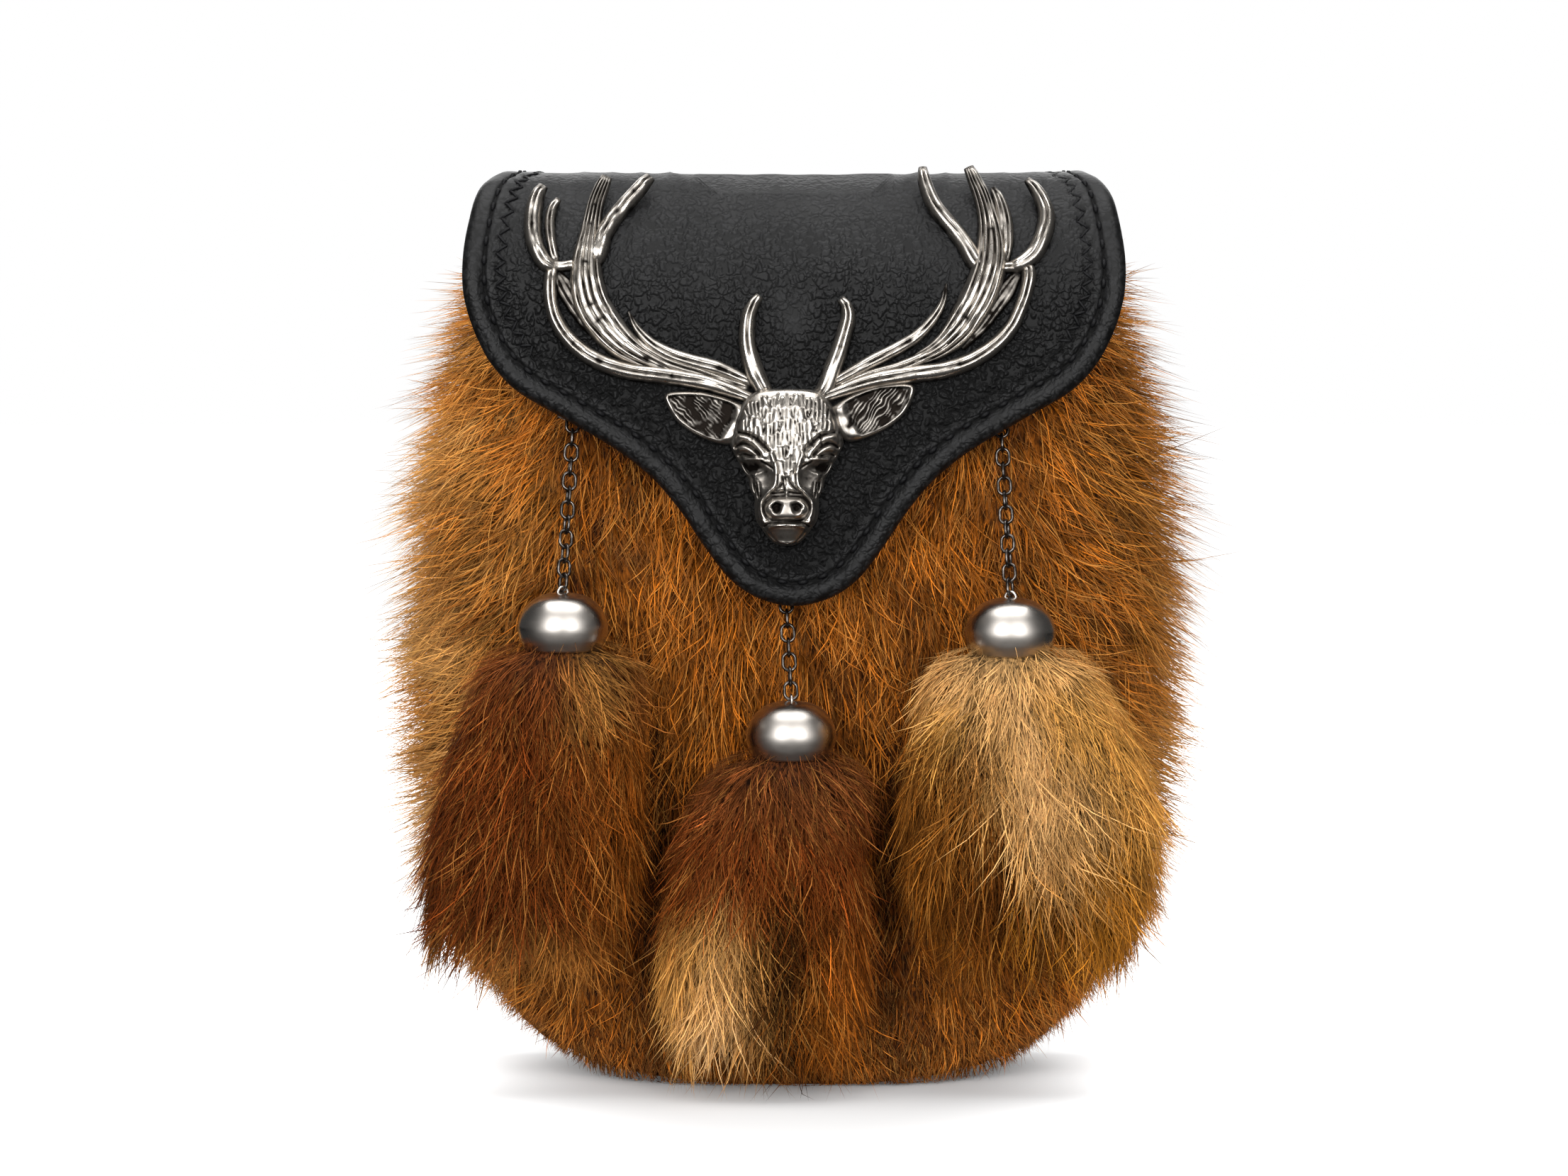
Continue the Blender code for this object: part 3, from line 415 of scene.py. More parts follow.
def grow(rng, roots, ups, ways, lengths, coat, spread, curl):
    """Middles of wisps of hair, with the wisp of each. A wisp's hairs start round its root and draw together.

    ways: the way a wisp leaves the skin; curl: how far its end bends back to it, for each unit of length.
    """
    sideways = unit(np.cross(ups, ways))
    pick = np.repeat(np.arange(len(roots)), coat.hairs)
    count = len(pick)
    side, up, way = sideways[pick], ups[pick], ways[pick]
    flat = unit(np.cross(side, up))
    shift = rng.normal(size=(count, 2)) * spread
    turn = rng.normal(size=(count, 2)) * (coat.stray, coat.stray * 0.7)
    way = unit(way + side * turn[:, :1] + up * turn[:, 1:])
    own = (lengths[pick] * rng.uniform(0.65, 1.15, count))[:, None, None]
    bend = ((rng.normal(size=len(roots)) * 0.2)[pick] + rng.normal(size=count) * 0.17)[:, None, None]
    t = np.linspace(0, 1, coat.stations)[None, :, None]
    start = roots[pick] + side * shift[:, :1] + flat * shift[:, 1:]
    path = start[:, None, :] + own * (way[:, None, :] * t + side[:, None, :] * bend * t**2)
    path -= up[:, None, :] * own * curl[pick][:, None, None] * t**2
    path[..., 2] -= 0.07 * own[..., 0] * t[..., 0] ** 2
    path -= (side * shift[:, :1] + flat * shift[:, 1:] * 0.4)[:, None, :] * coat.gather * t**1.2
    return path, pick


Coat = namedtuple("Coat", "name wisps width hairs stations length pale lift stray gather")
# The coats of each part of the fur: the columns from a coat's hairs on
COATS = {
    "front": ((8, 3, 0.85, 0.12, 0.34, 0.12, 0.45), (5, 4, 1.05, 0.30, 0.42, 0.17, 0.40),
              (4, 2, 0.50, 0.30, 0.45, 0.30, 0.0)),
    "side": ((5, 3, 0.85, 0.12, 0.10, 0.12, 0.35), (3, 3, 1.12, 0.35, 0.16, 0.17, 0.30),
             (3, 2, 0.60, 0.30, 0.20, 0.30, 0.0)),
    "tassel": ((8, 3, 0.90, 0.06, 1.0, 0.12, 0.40), (5, 4, 1.10, 0.22, 1.35, 0.17, 0.35),
               (4, 2, 0.60, 0.18, 1.2, 0.28, 0.0)),
}


def coats_of(part, fur):
    """The three coats of a part of the fur: wool, longer guard hairs, and short fine stray ones."""
    wisps, width = getattr(fur, f"{part}_wisps"), fur.hair_width / MM / 2
    kinds = (("wool", wisps, width), ("hair", wisps, width * 0.75), ("fine", wisps * 2, width * 0.55))
    return [Coat(*kind, *row) for kind, row in zip(kinds, COATS[part])]


def hair_widths(rng, count, coat, tip=0.35):
    """Half widths at all stations but the last, fullest below the middle."""
    t = np.linspace(0, 1, coat.stations)[:-1]
    profile = 0.75 + 0.35 * np.sin(math.pi * np.clip(t * 1.15, 0, 1)) - (0.75 - tip) * t**2
    return coat.width * rng.uniform(0.75, 1.25, count)[:, None] * profile[None, :]


# ---- the pouch's skin

POUCH_SECTIONS = table(
    "height half_width front", (172, 60.5, -6.0), (160, 65.0, -8.0), (147, 68.0, -9.7), (133, 70.3, -11.2),
    (118, 72.0, -12.2), (103, 72.5, -12.8), (88, 72.3, -13.0), (73, 71.5, -13.1), (59, 70.8, -13.4),
    (46, 69.8, -14.0), (34, 67.8, -15.2), (23, 63.0, -17.0), (13, 56.0, -19.2),
    (5, 48.0, -20.6), (0, 40.0, -20.0),
)
HOLLOW_SECTIONS = table(
    "height half_width front", (172, 58.5, -4.0), (147, 66.0, -7.7), (118, 70.0, -10.2), (88, 70.3, -11.0),
    (59, 68.0, -11.2), (36, 61.0, -10.0), (20, 48.0, -7.0), (12, 34.0, -2.0),
)
PLAN_SQUARENESS = 3.4
POUCH_BACK = 20.2


def level_sections(sections, rows, columns):
    """A grid of points on the pouch, from its rim down, each row from its left back edge round the front."""
    angles = np.linspace(0, math.pi, 181)
    power = 2 / PLAN_SQUARENESS
    x = -np.sign(np.cos(angles)) * np.abs(np.cos(angles)) ** power
    deep = np.sin(angles).clip(0, 1) ** power
    grid = []
    for height, half_width, front in resample(curve_through(sections, 8), rows):
        line = np.stack([x * half_width, POUCH_BACK + (front - POUCH_BACK) * deep], axis=1)
        grid.append(np.column_stack([resample(line, columns), np.full(columns, height)]))
    return np.array(grid)


def grid_normals(grid):
    """Outward normals of a grid whose rows run down and whose columns run from left to right."""
    return unit(np.cross(np.gradient(grid, axis=0), np.gradient(grid, axis=1)))


def scatter(rng, grid, normals, weights, count):
    """Places spread over a grid by its area and by weights, with their normals."""
    down = grid[1:, :-1] - grid[:-1, :-1]
    across = grid[:-1, 1:] - grid[:-1, :-1]
    area = np.linalg.norm(np.cross(down, across), axis=-1) * weights[:-1, :-1]
    share = np.cumsum(area.ravel())
    cells = np.searchsorted(share, rng.uniform(0, share[-1], count))
    r, c = np.divmod(cells, area.shape[1])
    u, v = rng.uniform(0, 1, (2, count, 1))
    spread = []
    for values in (grid, normals):
        top = values[r, c] * (1 - v) + values[r, c + 1] * v
        low = values[r + 1, c] * (1 - v) + values[r + 1, c + 1] * v
        spread.append(top * (1 - u) + low * u)
    return spread[0], unit(spread[1])


# Chains with their caps, as the solids have them
DROPS = table(
    "name x y cap_x cap_top links twist",
    ("left", -46.3, -17.8, -48.1, 105.4, 12, 0.6),
    ("centre", -1.8, -22.4, -0.6, 82.8, 7, 0.1),
    ("right", 43.4, -17.8, 45.0, 104.4, 12, -0.45),
)
CAP_Y = -31.0
LINK_LENGTH, LINK_WIDTH, LINK_WIRE = 4.4, 3.3, 0.62
LINK_REACH = (LINK_LENGTH - LINK_WIRE) / 2 * math.cos(math.pi / 10)
LINK_PITCH = 2 * LINK_REACH - LINK_WIRE * 0.72
EYE_RADIUS = 1.2
BEARING = EYE_RADIUS - LINK_WIRE - 0.2


# ---- properties that a user would change


def colour_property(name, description, hex_colour):
    """A colour that the user can change."""
    return bpy.props.FloatVectorProperty(
        name=name, description=description, default=linear(hex_colour), size=4, subtype="COLOR")


def length_property(name, description, millimetres):
    """A length that the user can change."""
    return bpy.props.FloatProperty(name=name, description=description, default=millimetres * MM,
                                   unit="LENGTH")


def wisps_property(name, description, wisps):
    """A number of wisps that the user can change."""
    return bpy.props.IntProperty(name=name, description=description, default=wisps, min=50)


class SporranFur(bpy.types.PropertyGroup):
    """Sizes and colours of the fur."""

    front_wisps: wisps_property("Front wisps", "Wisps of each coat on the front of the pouch", 1470)
    side_wisps: wisps_property("Side wisps", "Wisps of each coat round the sides of the pouch", 1900)
    tassel_wisps: wisps_property("Tassel wisps", "Wisps of each coat on a tassel", 515)
    hair_width: length_property("Hair width", "Width of a hair at its fullest", 0.31)
    front_length: length_property("Front length", "Length of the hair on the front", 16)
    side_length: length_property("Side length", "Length of the hair at the sides", 20)
    gold: colour_property("Gold", "Hair at the pouch's left side", "#DEA250")
    amber: colour_property("Amber", "Hair at the pouch's right side", "#B8741F")
    orange: colour_property("Orange", "Hair in the middle", "#BC6A1C")
    brown: colour_property("Brown", "Dark hair of the tassels", "#863F14")
    cream: colour_property("Cream", "Pale patches of the tassels", "#F6C58A")


class SporranLeather(bpy.types.PropertyGroup):
    """Sizes and colours of the leather and its thread."""

    colour: colour_property("Leather", "Dyed leather", "#131314")
    thread: colour_property("Thread", "Waxed thread", "#08080A")
    stitch: length_property("Stitch", "From one hole of the stitching to the next", 4.4)


class SporranMetal(bpy.types.PropertyGroup):
    """Colours of the metal parts."""

    silver: colour_property("Silver", "Bare metal of the badge", "#C6BFB6")
    patina: colour_property("Patina", "Darkened recesses", "#1C1815")
    gunmetal: colour_property("Gunmetal", "Chains", "#6A6460")


class SporranStage(bpy.types.PropertyGroup):
    """The studio."""

    lens: bpy.props.FloatProperty(
        name="Lens", description="Focal length of the camera", default=100.0, min=20.0, unit="CAMERA")
    elevation: bpy.props.FloatProperty(
        name="Elevation", description="Height of the camera over the horizon", default=math.radians(3.5),
        subtype="ANGLE")
    key: bpy.props.FloatProperty(
        name="Key light", description="Power of each front light", default=14.0, min=0.0, unit="POWER")


# ---- materials


def two_stops(ramp, low, low_colour, high, high_colour):
    """Sets both stops of a colour ramp."""
    for stop, position, colour in zip(ramp.color_ramp.elements, (low, high), (low_colour, high_colour)):
        stop.color, stop.position = colour, position
    return ramp


def fur_material(name):
    """Animal hair: a slightly waxy fibre, soft in its gloss. Its colour is kept on the strands."""
    material, tree, shader = new_material(name, {"Roughness": 0.55, "Specular IOR Level": 0.22,
                                                 "Specular Tint": linear("#F2CB94")})
    set_inputs(shader, {"Base Color": add_node(tree, "Attribute", attribute_name="tint")})
    return material


def hide_material():
    """Underfur: short dense wool on the skin, seen between the hairs, in streaks of light and dark."""
    material, tree, shader = new_material("short underfur", {"Roughness": 0.9, "Specular IOR Level": 0.1})
    place = add_node(tree, "TexCoord").outputs["Object"]
    # streaks of about 0.6 mm, four times as long as they are wide
    drawn = add_node(tree, "Mapping", {"Vector": place, "Scale": (1, 1, 0.25)})
    streaks = add_node(tree, "TexNoise", {"Vector": drawn, "Scale": 1600.0, "Detail": 3.0})
    ramp = add_node(tree, "ValToRGB", {"Fac": streaks})
    two_stops(ramp, 0.38, (0.12, 0.12, 0.12, 1), 0.66, (1, 1, 1, 1))
    tint = add_node(tree, "Attribute", attribute_name="tint")
    dyed = add_node(tree, "Mix", {0: 1.0, 6: tint, 7: ramp}, data_type="RGBA", blend_type="MULTIPLY")
    bump = add_node(tree, "Bump", {"Height": streaks, "Distance": 0.001, "Strength": 0.9})
    set_inputs(shader, {"Base Color": dyed.outputs[2], "Normal": bump})
    return material


def leather_material(name, colour, grain=1.3 * MM, depth=0.9 * MM, worked=False):
    """Vegetable-tanned cowhide, dyed black and pressed with a pebble grain, with a satin wax finish.

    Its valleys between pebbles are darkened as painted shade. Worked leather has the attributes "grain", how
    deep its pebbles are, and "groove", how much painted shade darkens its grooves.
    """
    material, tree, shader = new_material(name, {"Specular IOR Level": 0.27 if worked else 0.5})
    place = add_node(tree, "TexCoord").outputs["Object"]
    warp = add_node(tree, "TexNoise", {"Vector": place, "Scale": 0.6 / grain, "Detail": 1.5,
                                       "Roughness": 0.5})
    shift = add_node(tree, "VectorMath", {0: warp.outputs["Color"], 1: [grain * 2.4] * 3},
                     operation="MULTIPLY")
    placed = add_node(tree, "VectorMath", {0: shift, 1: place}, operation="ADD")
    # pebbles of the grain's size: the valleys between them are soft, and deepest where three pebbles meet
    cells = add_node(tree, "TexVoronoi", {"Vector": placed, "Scale": 1 / grain})
    pebble = add_node(tree, "MapRange", {"Value": cells, "From Min": 0.22, "From Max": 0.78, "To Min": 1.0,
                                         "To Max": 0.0}, interpolation_type="SMOOTHSTEP")
    # pores a sixth of the grain across
    pores = add_node(tree, "TexVoronoi", {"Vector": place, "Scale": 1.15 / grain})
    pit = add_node(tree, "MapRange", {"Value": pores, "From Min": 0.06, "From Max": 0.17},
                   interpolation_type="SMOOTHSTEP")
    pricked = add_node(tree, "Math", {0: pit, 1: 0.35, 2: 0.65}, operation="MULTIPLY_ADD")
    surface = add_node(tree, "Math", {0: pebble, 1: pricked}, operation="MULTIPLY")
    bump = add_node(tree, "Bump", {"Height": surface, "Distance": depth, "Strength": 1.0})
    # the dye, darkened in the valleys between pebbles as painted shade
    dye_and_shade = add_node(tree, "Mix", {0: surface, 6: shaded(colour, 0.1), 7: colour}, data_type="RGBA").outputs[2]
    wear = add_node(tree, "TexNoise", {"Vector": place, "Scale": 60.0, "Detail": 4.0})
    gloss = add_node(tree, "MapRange", {"Value": wear, "To Min": 0.4, "To Max": 0.62})
    if worked:
        pressed, groove = [add_node(tree, "Attribute", attribute_name=kind).outputs["Fac"]
                           for kind in ("grain", "groove")]
        set_inputs(bump, {"Strength": pressed})
        # painted shade: the deeper the grain and its grooves, the darker, and the less it shines
        deep = add_node(tree, "Math", {0: pressed, 1: 0.55, 2: groove}, operation="MULTIPLY_ADD",
                        use_clamp=True)
        dye_and_shade = add_node(tree, "Mix", {0: deep, 6: dye_and_shade, 7: (0, 0, 0, 1)}, data_type="RGBA").outputs[2]
        gloss = add_node(tree, "Math", {0: deep, 1: 0.35, 2: gloss}, operation="MULTIPLY_ADD", use_clamp=True)
    set_inputs(shader, {"Base Color": dye_and_shade, "Roughness": gloss, "Normal": bump})
    return material


def thread_material(colour):
    """Waxed linen thread, twisted from plies of a quarter of a millimetre."""
    material, tree, shader = new_material("waxed linen thread", {"Base Color": colour, "Roughness": 0.6,
                                                                 "Specular IOR Level": 0.2})
    place = add_node(tree, "TexCoord").outputs["Object"]
    plies = add_node(tree, "TexNoise", {"Vector": place, "Scale": 4000.0})
    set_inputs(shader, {"Normal": add_node(tree, "Bump", {"Height": plies, "Distance": 0.0001})})
    return material


def cast_silver(silver, patina):
    """Cast pewter, silver-plated, blackened and rubbed bright: its recesses keep the black, and low strands
    behind the others get painted shade.
    """
    material, tree, shader = new_material("antiqued silver plate", {"Metallic": 1.0})
    place = add_node(tree, "TexCoord").outputs["Object"]
    recess = add_node(tree, "Attribute", attribute_name="recess").outputs["Fac"]
    # marks of a third of a millimetre left by the mould
    grain = add_node(tree, "TexNoise", {"Vector": place, "Scale": 3000.0, "Detail": 3.0})
    # and stains of about two
    stain = add_node(tree, "TexNoise", {"Vector": place, "Scale": 500.0, "Detail": 2.0})
    soot = add_node(tree, "Math", {0: stain, 1: 1.1, 2: -0.42}, operation="MULTIPLY_ADD")
    dark = add_node(tree, "Math", {0: recess, 1: soot}, operation="ADD", use_clamp=True)
    plate = add_node(tree, "Mix", {0: dark, 6: silver, 7: patina}, data_type="RGBA")
    gloss = add_node(tree, "MapRange", {"Value": dark, "To Min": 0.24, "To Max": 0.6})
    bump = add_node(tree, "Bump", {"Height": grain, "Distance": 0.00005, "Strength": 0.4})
    set_inputs(shader, {"Base Color": plate.outputs[2], "Roughness": gloss, "Normal": bump})
    return material


def polished_silver():
    """Spun brass, silver-plated and rubbed with fine wool: scratched, and glossier at the rims."""
    material, tree, shader = new_material("satin silver plate", {"Base Color": linear("#C2BCB5"),
                                                                 "Metallic": 1.0})
    place = add_node(tree, "TexCoord").outputs["Object"]
    # rubbed patches of about 3 mm, with finer scratches in them
    drawn = add_node(tree, "Mapping", {"Vector": place, "Scale": (1, 1, 2.5)})
    scratches = add_node(tree, "TexNoise", {"Vector": drawn, "Scale": 330.0, "Detail": 5.0})
    facing = add_node(tree, "LayerWeight", {"Blend": 0.5}).outputs["Facing"]
    satin = add_node(tree, "MapRange", {"Value": facing, "From Min": 0.12, "From Max": 0.5, "To Min": 0.37,
                                        "To Max": 0.16})
    gloss = add_node(tree, "Math", {0: scratches, 1: 0.12, 2: satin}, operation="MULTIPLY_ADD")
    bump = add_node(tree, "Bump", {"Height": scratches, "Distance": 0.00001})
    set_inputs(shader, {"Roughness": gloss, "Normal": bump})
    return material


def gunmetal(colour):
    """Steel wire with a black nickel plating: dark, with bright glints where it has rubbed."""
    material, tree, shader = new_material("black nickel plate", {"Metallic": 1.0, "Roughness": 0.28})
    place = add_node(tree, "TexCoord").outputs["Object"]
    rubbed = add_node(tree, "TexNoise", {"Vector": place, "Scale": 900.0, "Detail": 2.0})
    ramp = two_stops(add_node(tree, "ValToRGB", {"Fac": rubbed}), 0.4, shaded(colour, 0.35), 0.65, colour)
    set_inputs(shader, {"Base Color": ramp})
    return material


# ---- the fur of the pouch

FUR_SEED = 11
SKIN_ROWS, SKIN_COLUMNS = 150, 190
HIDE_ROWS, HIDE_COLUMNS = 52, 66
UNDERFUR = 1.4  # how far the short wool stands off the skin in front
SIDE_UNDERFUR = 2.2  # and so much further at the sides
COVERED_UNDERFUR = 7.5  # and under the flap
FLAP_BACK = 3.9  # from the flap's outer face to just behind its rolled edge
HAIR_FLOOR = 0.4
# The lowest that the fur reaches, at each distance from the middle
FOOT_X = (0.0, 10.0, 22.0, 32.0, 41.0, 49.0, 61.0, 68.0, 78.0, 86.0)
FOOT_HEIGHTS = (0.6, 0.8, 1.5, 2.6, 4.3, 7.0, 13.0, 17.5, 27.0, 35.0)
PALEST = 0.9  # the brightest that a hair may be


def combing(places):
    """The angle, from straight down towards the outside, at which the hair of the pouch lies."""
    x, height = places[:, 0], places[:, 2]
    left = np.interp(-x, [0, 20, 38, 45, 48.5, 56, 66, 74], [1, 5, 2, -2, 30, 44, 62, 70])
    right = np.interp(x, [0, 20, 38, 42, 45.5, 56, 66, 74], [1, 5, 4, 2, 30, 40, 52, 60])
    outer = np.interp(height, [0, 15, 40, 90, 130, 150, 164, 172], [-24, -14, -8, 0, 4, 12, 26, 40])
    angle = np.where(x < 0, left, right) + rising(46, 58, np.abs(x)) * outer
    swirl = wander(places, 24, 3) * 9 + wander(places, 8, 4) * 7
    return np.radians(np.clip(angle + swirl, -28, 112)) * np.where(x < 0, -1, 1)


def clear_of_fittings(path):
    """Keeps hair off the floor, behind the flap and behind the chains."""
    x, y, height = path[..., 0], path[..., 1], path[..., 2]
    flap_back = flap_face(x, along_at_height(np.clip(height, 101, 193)))[..., 1] + FLAP_BACK
    y = np.where(behind_flap(x, height, 0.6) & (y < flap_back), flap_back, y)
    for drop in DROPS:
        top = drop.cap_top + 2 * LINK_REACH + (drop.links - 1) * LINK_PITCH
        share = np.clip((height - drop.cap_top) / (top - drop.cap_top), 0, 1)
        behind = CAP_Y + (drop.y - CAP_Y) * share + 2.4
        near = hump(x, drop.cap_x + (drop.x - drop.cap_x) * share, 3.4, 4)
        y = y + np.maximum(behind - y, 0) * near * (height > drop.cap_top - 12) * (height < top + 4)
    path[..., 1] = y
    path[..., 2] = np.maximum(height, HAIR_FLOOR)
    return path


def foot_height(x):
    """The lowest that the fur reaches at those places across the pouch."""
    return np.interp(np.abs(x), FOOT_X, FOOT_HEIGHTS)


def trim_to_foot(rng, path):
    """Shortens the strands that would hang below the pouch's rounded foot, not all at the same line."""
    lowest = foot_height(path[:, -1, 0]) + rng.uniform(-0.6, 0.6, len(path)) - rng.exponential(1.2, len(path))
    lowest = np.maximum(lowest, HAIR_FLOOR)
    root, tip = path[:, 0, 2], path[:, -1, 2]
    share = np.where(tip < lowest, np.clip((root - lowest) / np.maximum(root - tip, 0.1), 0.3, 1), 1)
    return path[:, :1] + (path - path[:, :1]) * share[:, None, None]


def fur_colours(*names):
    """The chosen colours of the fur, as arrays of red, green and blue."""
    return [np.array(getattr(bpy.context.scene.sporran_fur, name)[:3]) for name in names]


def layered(colour, *layers):
    """A colour with others laid over it in turn, each by its own share at every place."""
    for over, share in layers:
        colour = colour + (over - colour) * share[:, None]
    return colour


def pouch_colour(places):
    """Colours over the pouch: gold at the left, amber at the right, orange brown between; painted shade in
    partings, beside the chains, behind the tassels and low down.
    """
    gold, amber, orange, cream = fur_colours("gold", "amber", "orange", "cream")
    x, height = places[:, 0], places[:, 2]
    off_chains = np.minimum(np.abs(x + 47), np.abs(x - 44.2))
    off_tassels = np.minimum(np.abs(x + 29), np.abs(x - 20))
    x = x + wander(places, 16, 7) * 3.5 + wander(places, 6, 17) * 2.5
    side = np.where(x < 0, rising(48, 74, -x), rising(50, 78, x)) * rising(6, 34, height)
    # the left side is lightest at its top: partly the hair's own colour, partly a painted highlight
    left = gold * np.interp(height, [60, 92, 118, 138], [0.86, 0.76, 0.84, 1.26])[:, None]
    right = layered(amber, (gold, 0.55 * falling(70, 100, height)))
    right = right * np.interp(height, [60, 80, 110, 140], [0.74, 0.77, 0.74, 0.76])[:, None]
    high = np.interp(height, [60, 90, 112, 132], [0.8, 0.45, 0.4, 0.7])
    pale = np.where(x < 0, 0.75 * high * rising(58, 74, -x), 0.25 * rising(66, 80, x)) * side
    # painted shade: in the partings between clumps, beside the chains, towards the foot and behind the
    # tassels
    shadow = rising(0.0, 1.2, wander(places, 11, 8)) * (1 - 0.8 * side) * 0.6
    shadow = shadow + hump(off_chains, 0, 5) * (height > 70) * 0.34
    shadow = shadow + 0.42 * rising(0.3, 1.3, wander(places, 4.5, 9)) * (1 - 0.5 * side)
    shadow = np.maximum(shadow, 0.6 * falling(4, 30, height))
    shadow = np.maximum(shadow, 0.95 * hump(off_tassels, 0, 7) * (height < 74))
    return layered(
        orange,
        (np.where(x[:, None] < 0, left, right), side),
        (0, 0.27 * rising(48, 58, x) * falling(64, 74, x) * (height > 90)),
        (cream, pale),
        (orange * (0.26, 0.21, 0.18), np.clip(shadow, 0, 0.95)),
    )


def strand_tints(rng, base, pick, coat, blond, fade, tip):
    """Colours of hairs along their length: each wisp and each hair has its own, and some hairs are pale. They
    darken towards the root, partly the hair's own colour and partly painted shade.
    """
    wisp = np.exp(rng.normal(size=len(base)) * 0.33 - 0.02)[pick][:, None]
    hair = np.exp(rng.normal(size=len(pick)) * 0.40 - 0.05)[:, None]
    own = base[pick] * wisp * hair
    own = np.where((rng.uniform(size=len(pick)) < coat.pale)[:, None], own * 0.5 + blond * 0.6, own)
    t = np.linspace(0, 1, coat.stations)[None, :, None]
    # fade darkens the root: partly the hair's own darker root, partly painted shade deep in the coat
    tints = own[:, None, :] * np.interp(t, [0, 0.3, 0.7, 1], fade)
    tints = tints + (tip * 0.9 - tints) * np.interp(t, [0.6, 1], [0, 0.15])
    return tints * np.minimum(1, PALEST / tints.max(axis=-1, keepdims=True))


def make_pouch_fur(material, fur):
    """Hair over the front and round the sides: wool, longer guard hairs, and short fine stray ones."""
    skin = level_sections(POUCH_SECTIONS, SKIN_ROWS, SKIN_COLUMNS)
    ups = grid_normals(skin)
    x, height = skin[..., 0], skin[..., 2]
    front = np.clip(-ups[..., 1], 0, 1) ** 2
    hidden = behind_flap(x, height, -12.0) & (front > 0.4)
    tasselled = (np.abs(x) < 74) & (height < 74) & (height > 24) & (front > 0.6)
    weights = np.where(hidden, 0, np.where(tasselled, 0.4, 1.0))
    weights = weights * np.interp(height, [0, 3, 12, 30], [1, 2, 2, 1])
    weights = weights * (height > foot_height(x) - 0.4)
    gold, cream = fur_colours("gold", "cream")
    for part, mask, seed in (("front", front > 0.35, FUR_SEED), ("side", front <= 0.35, FUR_SEED + 10)):
        for layer, coat in enumerate(coats_of(part, fur)):
            rng = np.random.default_rng(seed + layer)
            roots, out = scatter(rng, skin, ups, weights * mask, coat.wisps)
            facing = np.clip(-out[:, 1], 0, 1) ** 2
            angle = combing(roots)
            ways = np.stack([np.sin(angle), rng.normal(size=coat.wisps) * 0.10, -np.cos(angle)], axis=1)
            lift = coat.lift + np.where(facing < 0.35, 0, 0.12 * rng.normal(size=coat.wisps))
            ways = unit(ways + out * lift[:, None])
            lengths = (fur.front_length * facing + fur.side_length * (1 - facing)) / MM * coat.length
            lengths *= rng.uniform(0.8, 1.15, coat.wisps)
            lengths *= np.interp(roots[:, 2], [0, 10, 25, 50, 130, 150, 170],
                                 [0.45, 0.55, 0.75, 1.0, 1.0, 0.85, 0.75])
            off = 0.3 + 2.0 * (coat.gather == 0)
            curl = np.where(facing < 0.35, 0.04, 0.16)
            path, pick = grow(rng, roots + out * off, out, ways, lengths, coat, 1.5, curl)
            path = clear_of_fittings(trim_to_foot(rng, path))
            widths = hair_widths(rng, len(path), coat)
            base = pouch_colour(roots)
            blond = gold * 0.6 + base[pick] * 0.6
            tints = strand_tints(rng, base, pick, coat, blond, (0.2, 0.58, 1.08, 1.3), cream)
            for side, chosen in (("left", path[:, 0, 0] < 0), ("right", path[:, 0, 0] >= 0)):
                name = f"pouch_{coat.name}_{part}_{side}"
                strands = [values[chosen] for values in (path, widths, out[pick], tints)]
                settle(strand_object(name, *strands, material), "pouch_fur")


def make_hide(material):
    """The hide with its short wool: a shell as thick as the solid's, open at its rim and back."""
    outer = level_sections(POUCH_SECTIONS, HIDE_ROWS, HIDE_COLUMNS)
    ups = grid_normals(outer)
    front = np.clip(-ups[..., 1], 0, 1)
    lift = UNDERFUR + SIDE_UNDERFUR * (1 - front**2)
    lift = lift + 0.7 * wander(outer, 4.5, 21) + 0.5 * wander(outer, 2.2, 22)
    # under the flap there is only wool, as thick as the fur round it, and the staples are sewn on through it
    hidden = [behind_flap(outer[..., 0], outer[..., 2], -inside) for inside in (2, 5, 8, 11)]
    covered = np.mean(hidden, axis=0)
    lift = (lift + COVERED_UNDERFUR * front * covered) * np.clip(outer[..., 2] / 8, 0, 1)
    outer = clear_of_fittings(outer + ups * lift[..., None])
    outer[..., 2] = np.maximum(outer[..., 2], 0.2 + 0.95 * np.maximum(foot_height(outer[..., 0]) - 0.8, 0))
    inner = level_sections(HOLLOW_SECTIONS, HIDE_ROWS, HIDE_COLUMNS)
    points = np.concatenate([outer.reshape(-1, 3), inner.reshape(-1, 3)])
    index = np.arange(outer.size // 3).reshape(HIDE_ROWS, HIDE_COLUMNS)
    outside = grid_faces(HIDE_ROWS, HIDE_COLUMNS)
    faces = [outside, outside[:, ::-1] + index.size, strip(index[0] + index.size, index[0])]
    faces += [strip(index[:, 0], index[:, 0] + index.size), strip(index[:, -1] + index.size, index[:, -1])]
    made = array_object("hide", points, faces, material)
    close_up(made)
    # the wool takes the hair's colours at 0.55 of their strength: painted shade of the deep coat between the
    # hairs
    point_values(made, "tint", pouch_colour(points) * 0.55)
    settle(made, "pouch_fur", "fur_pouch")


# ---- tassels

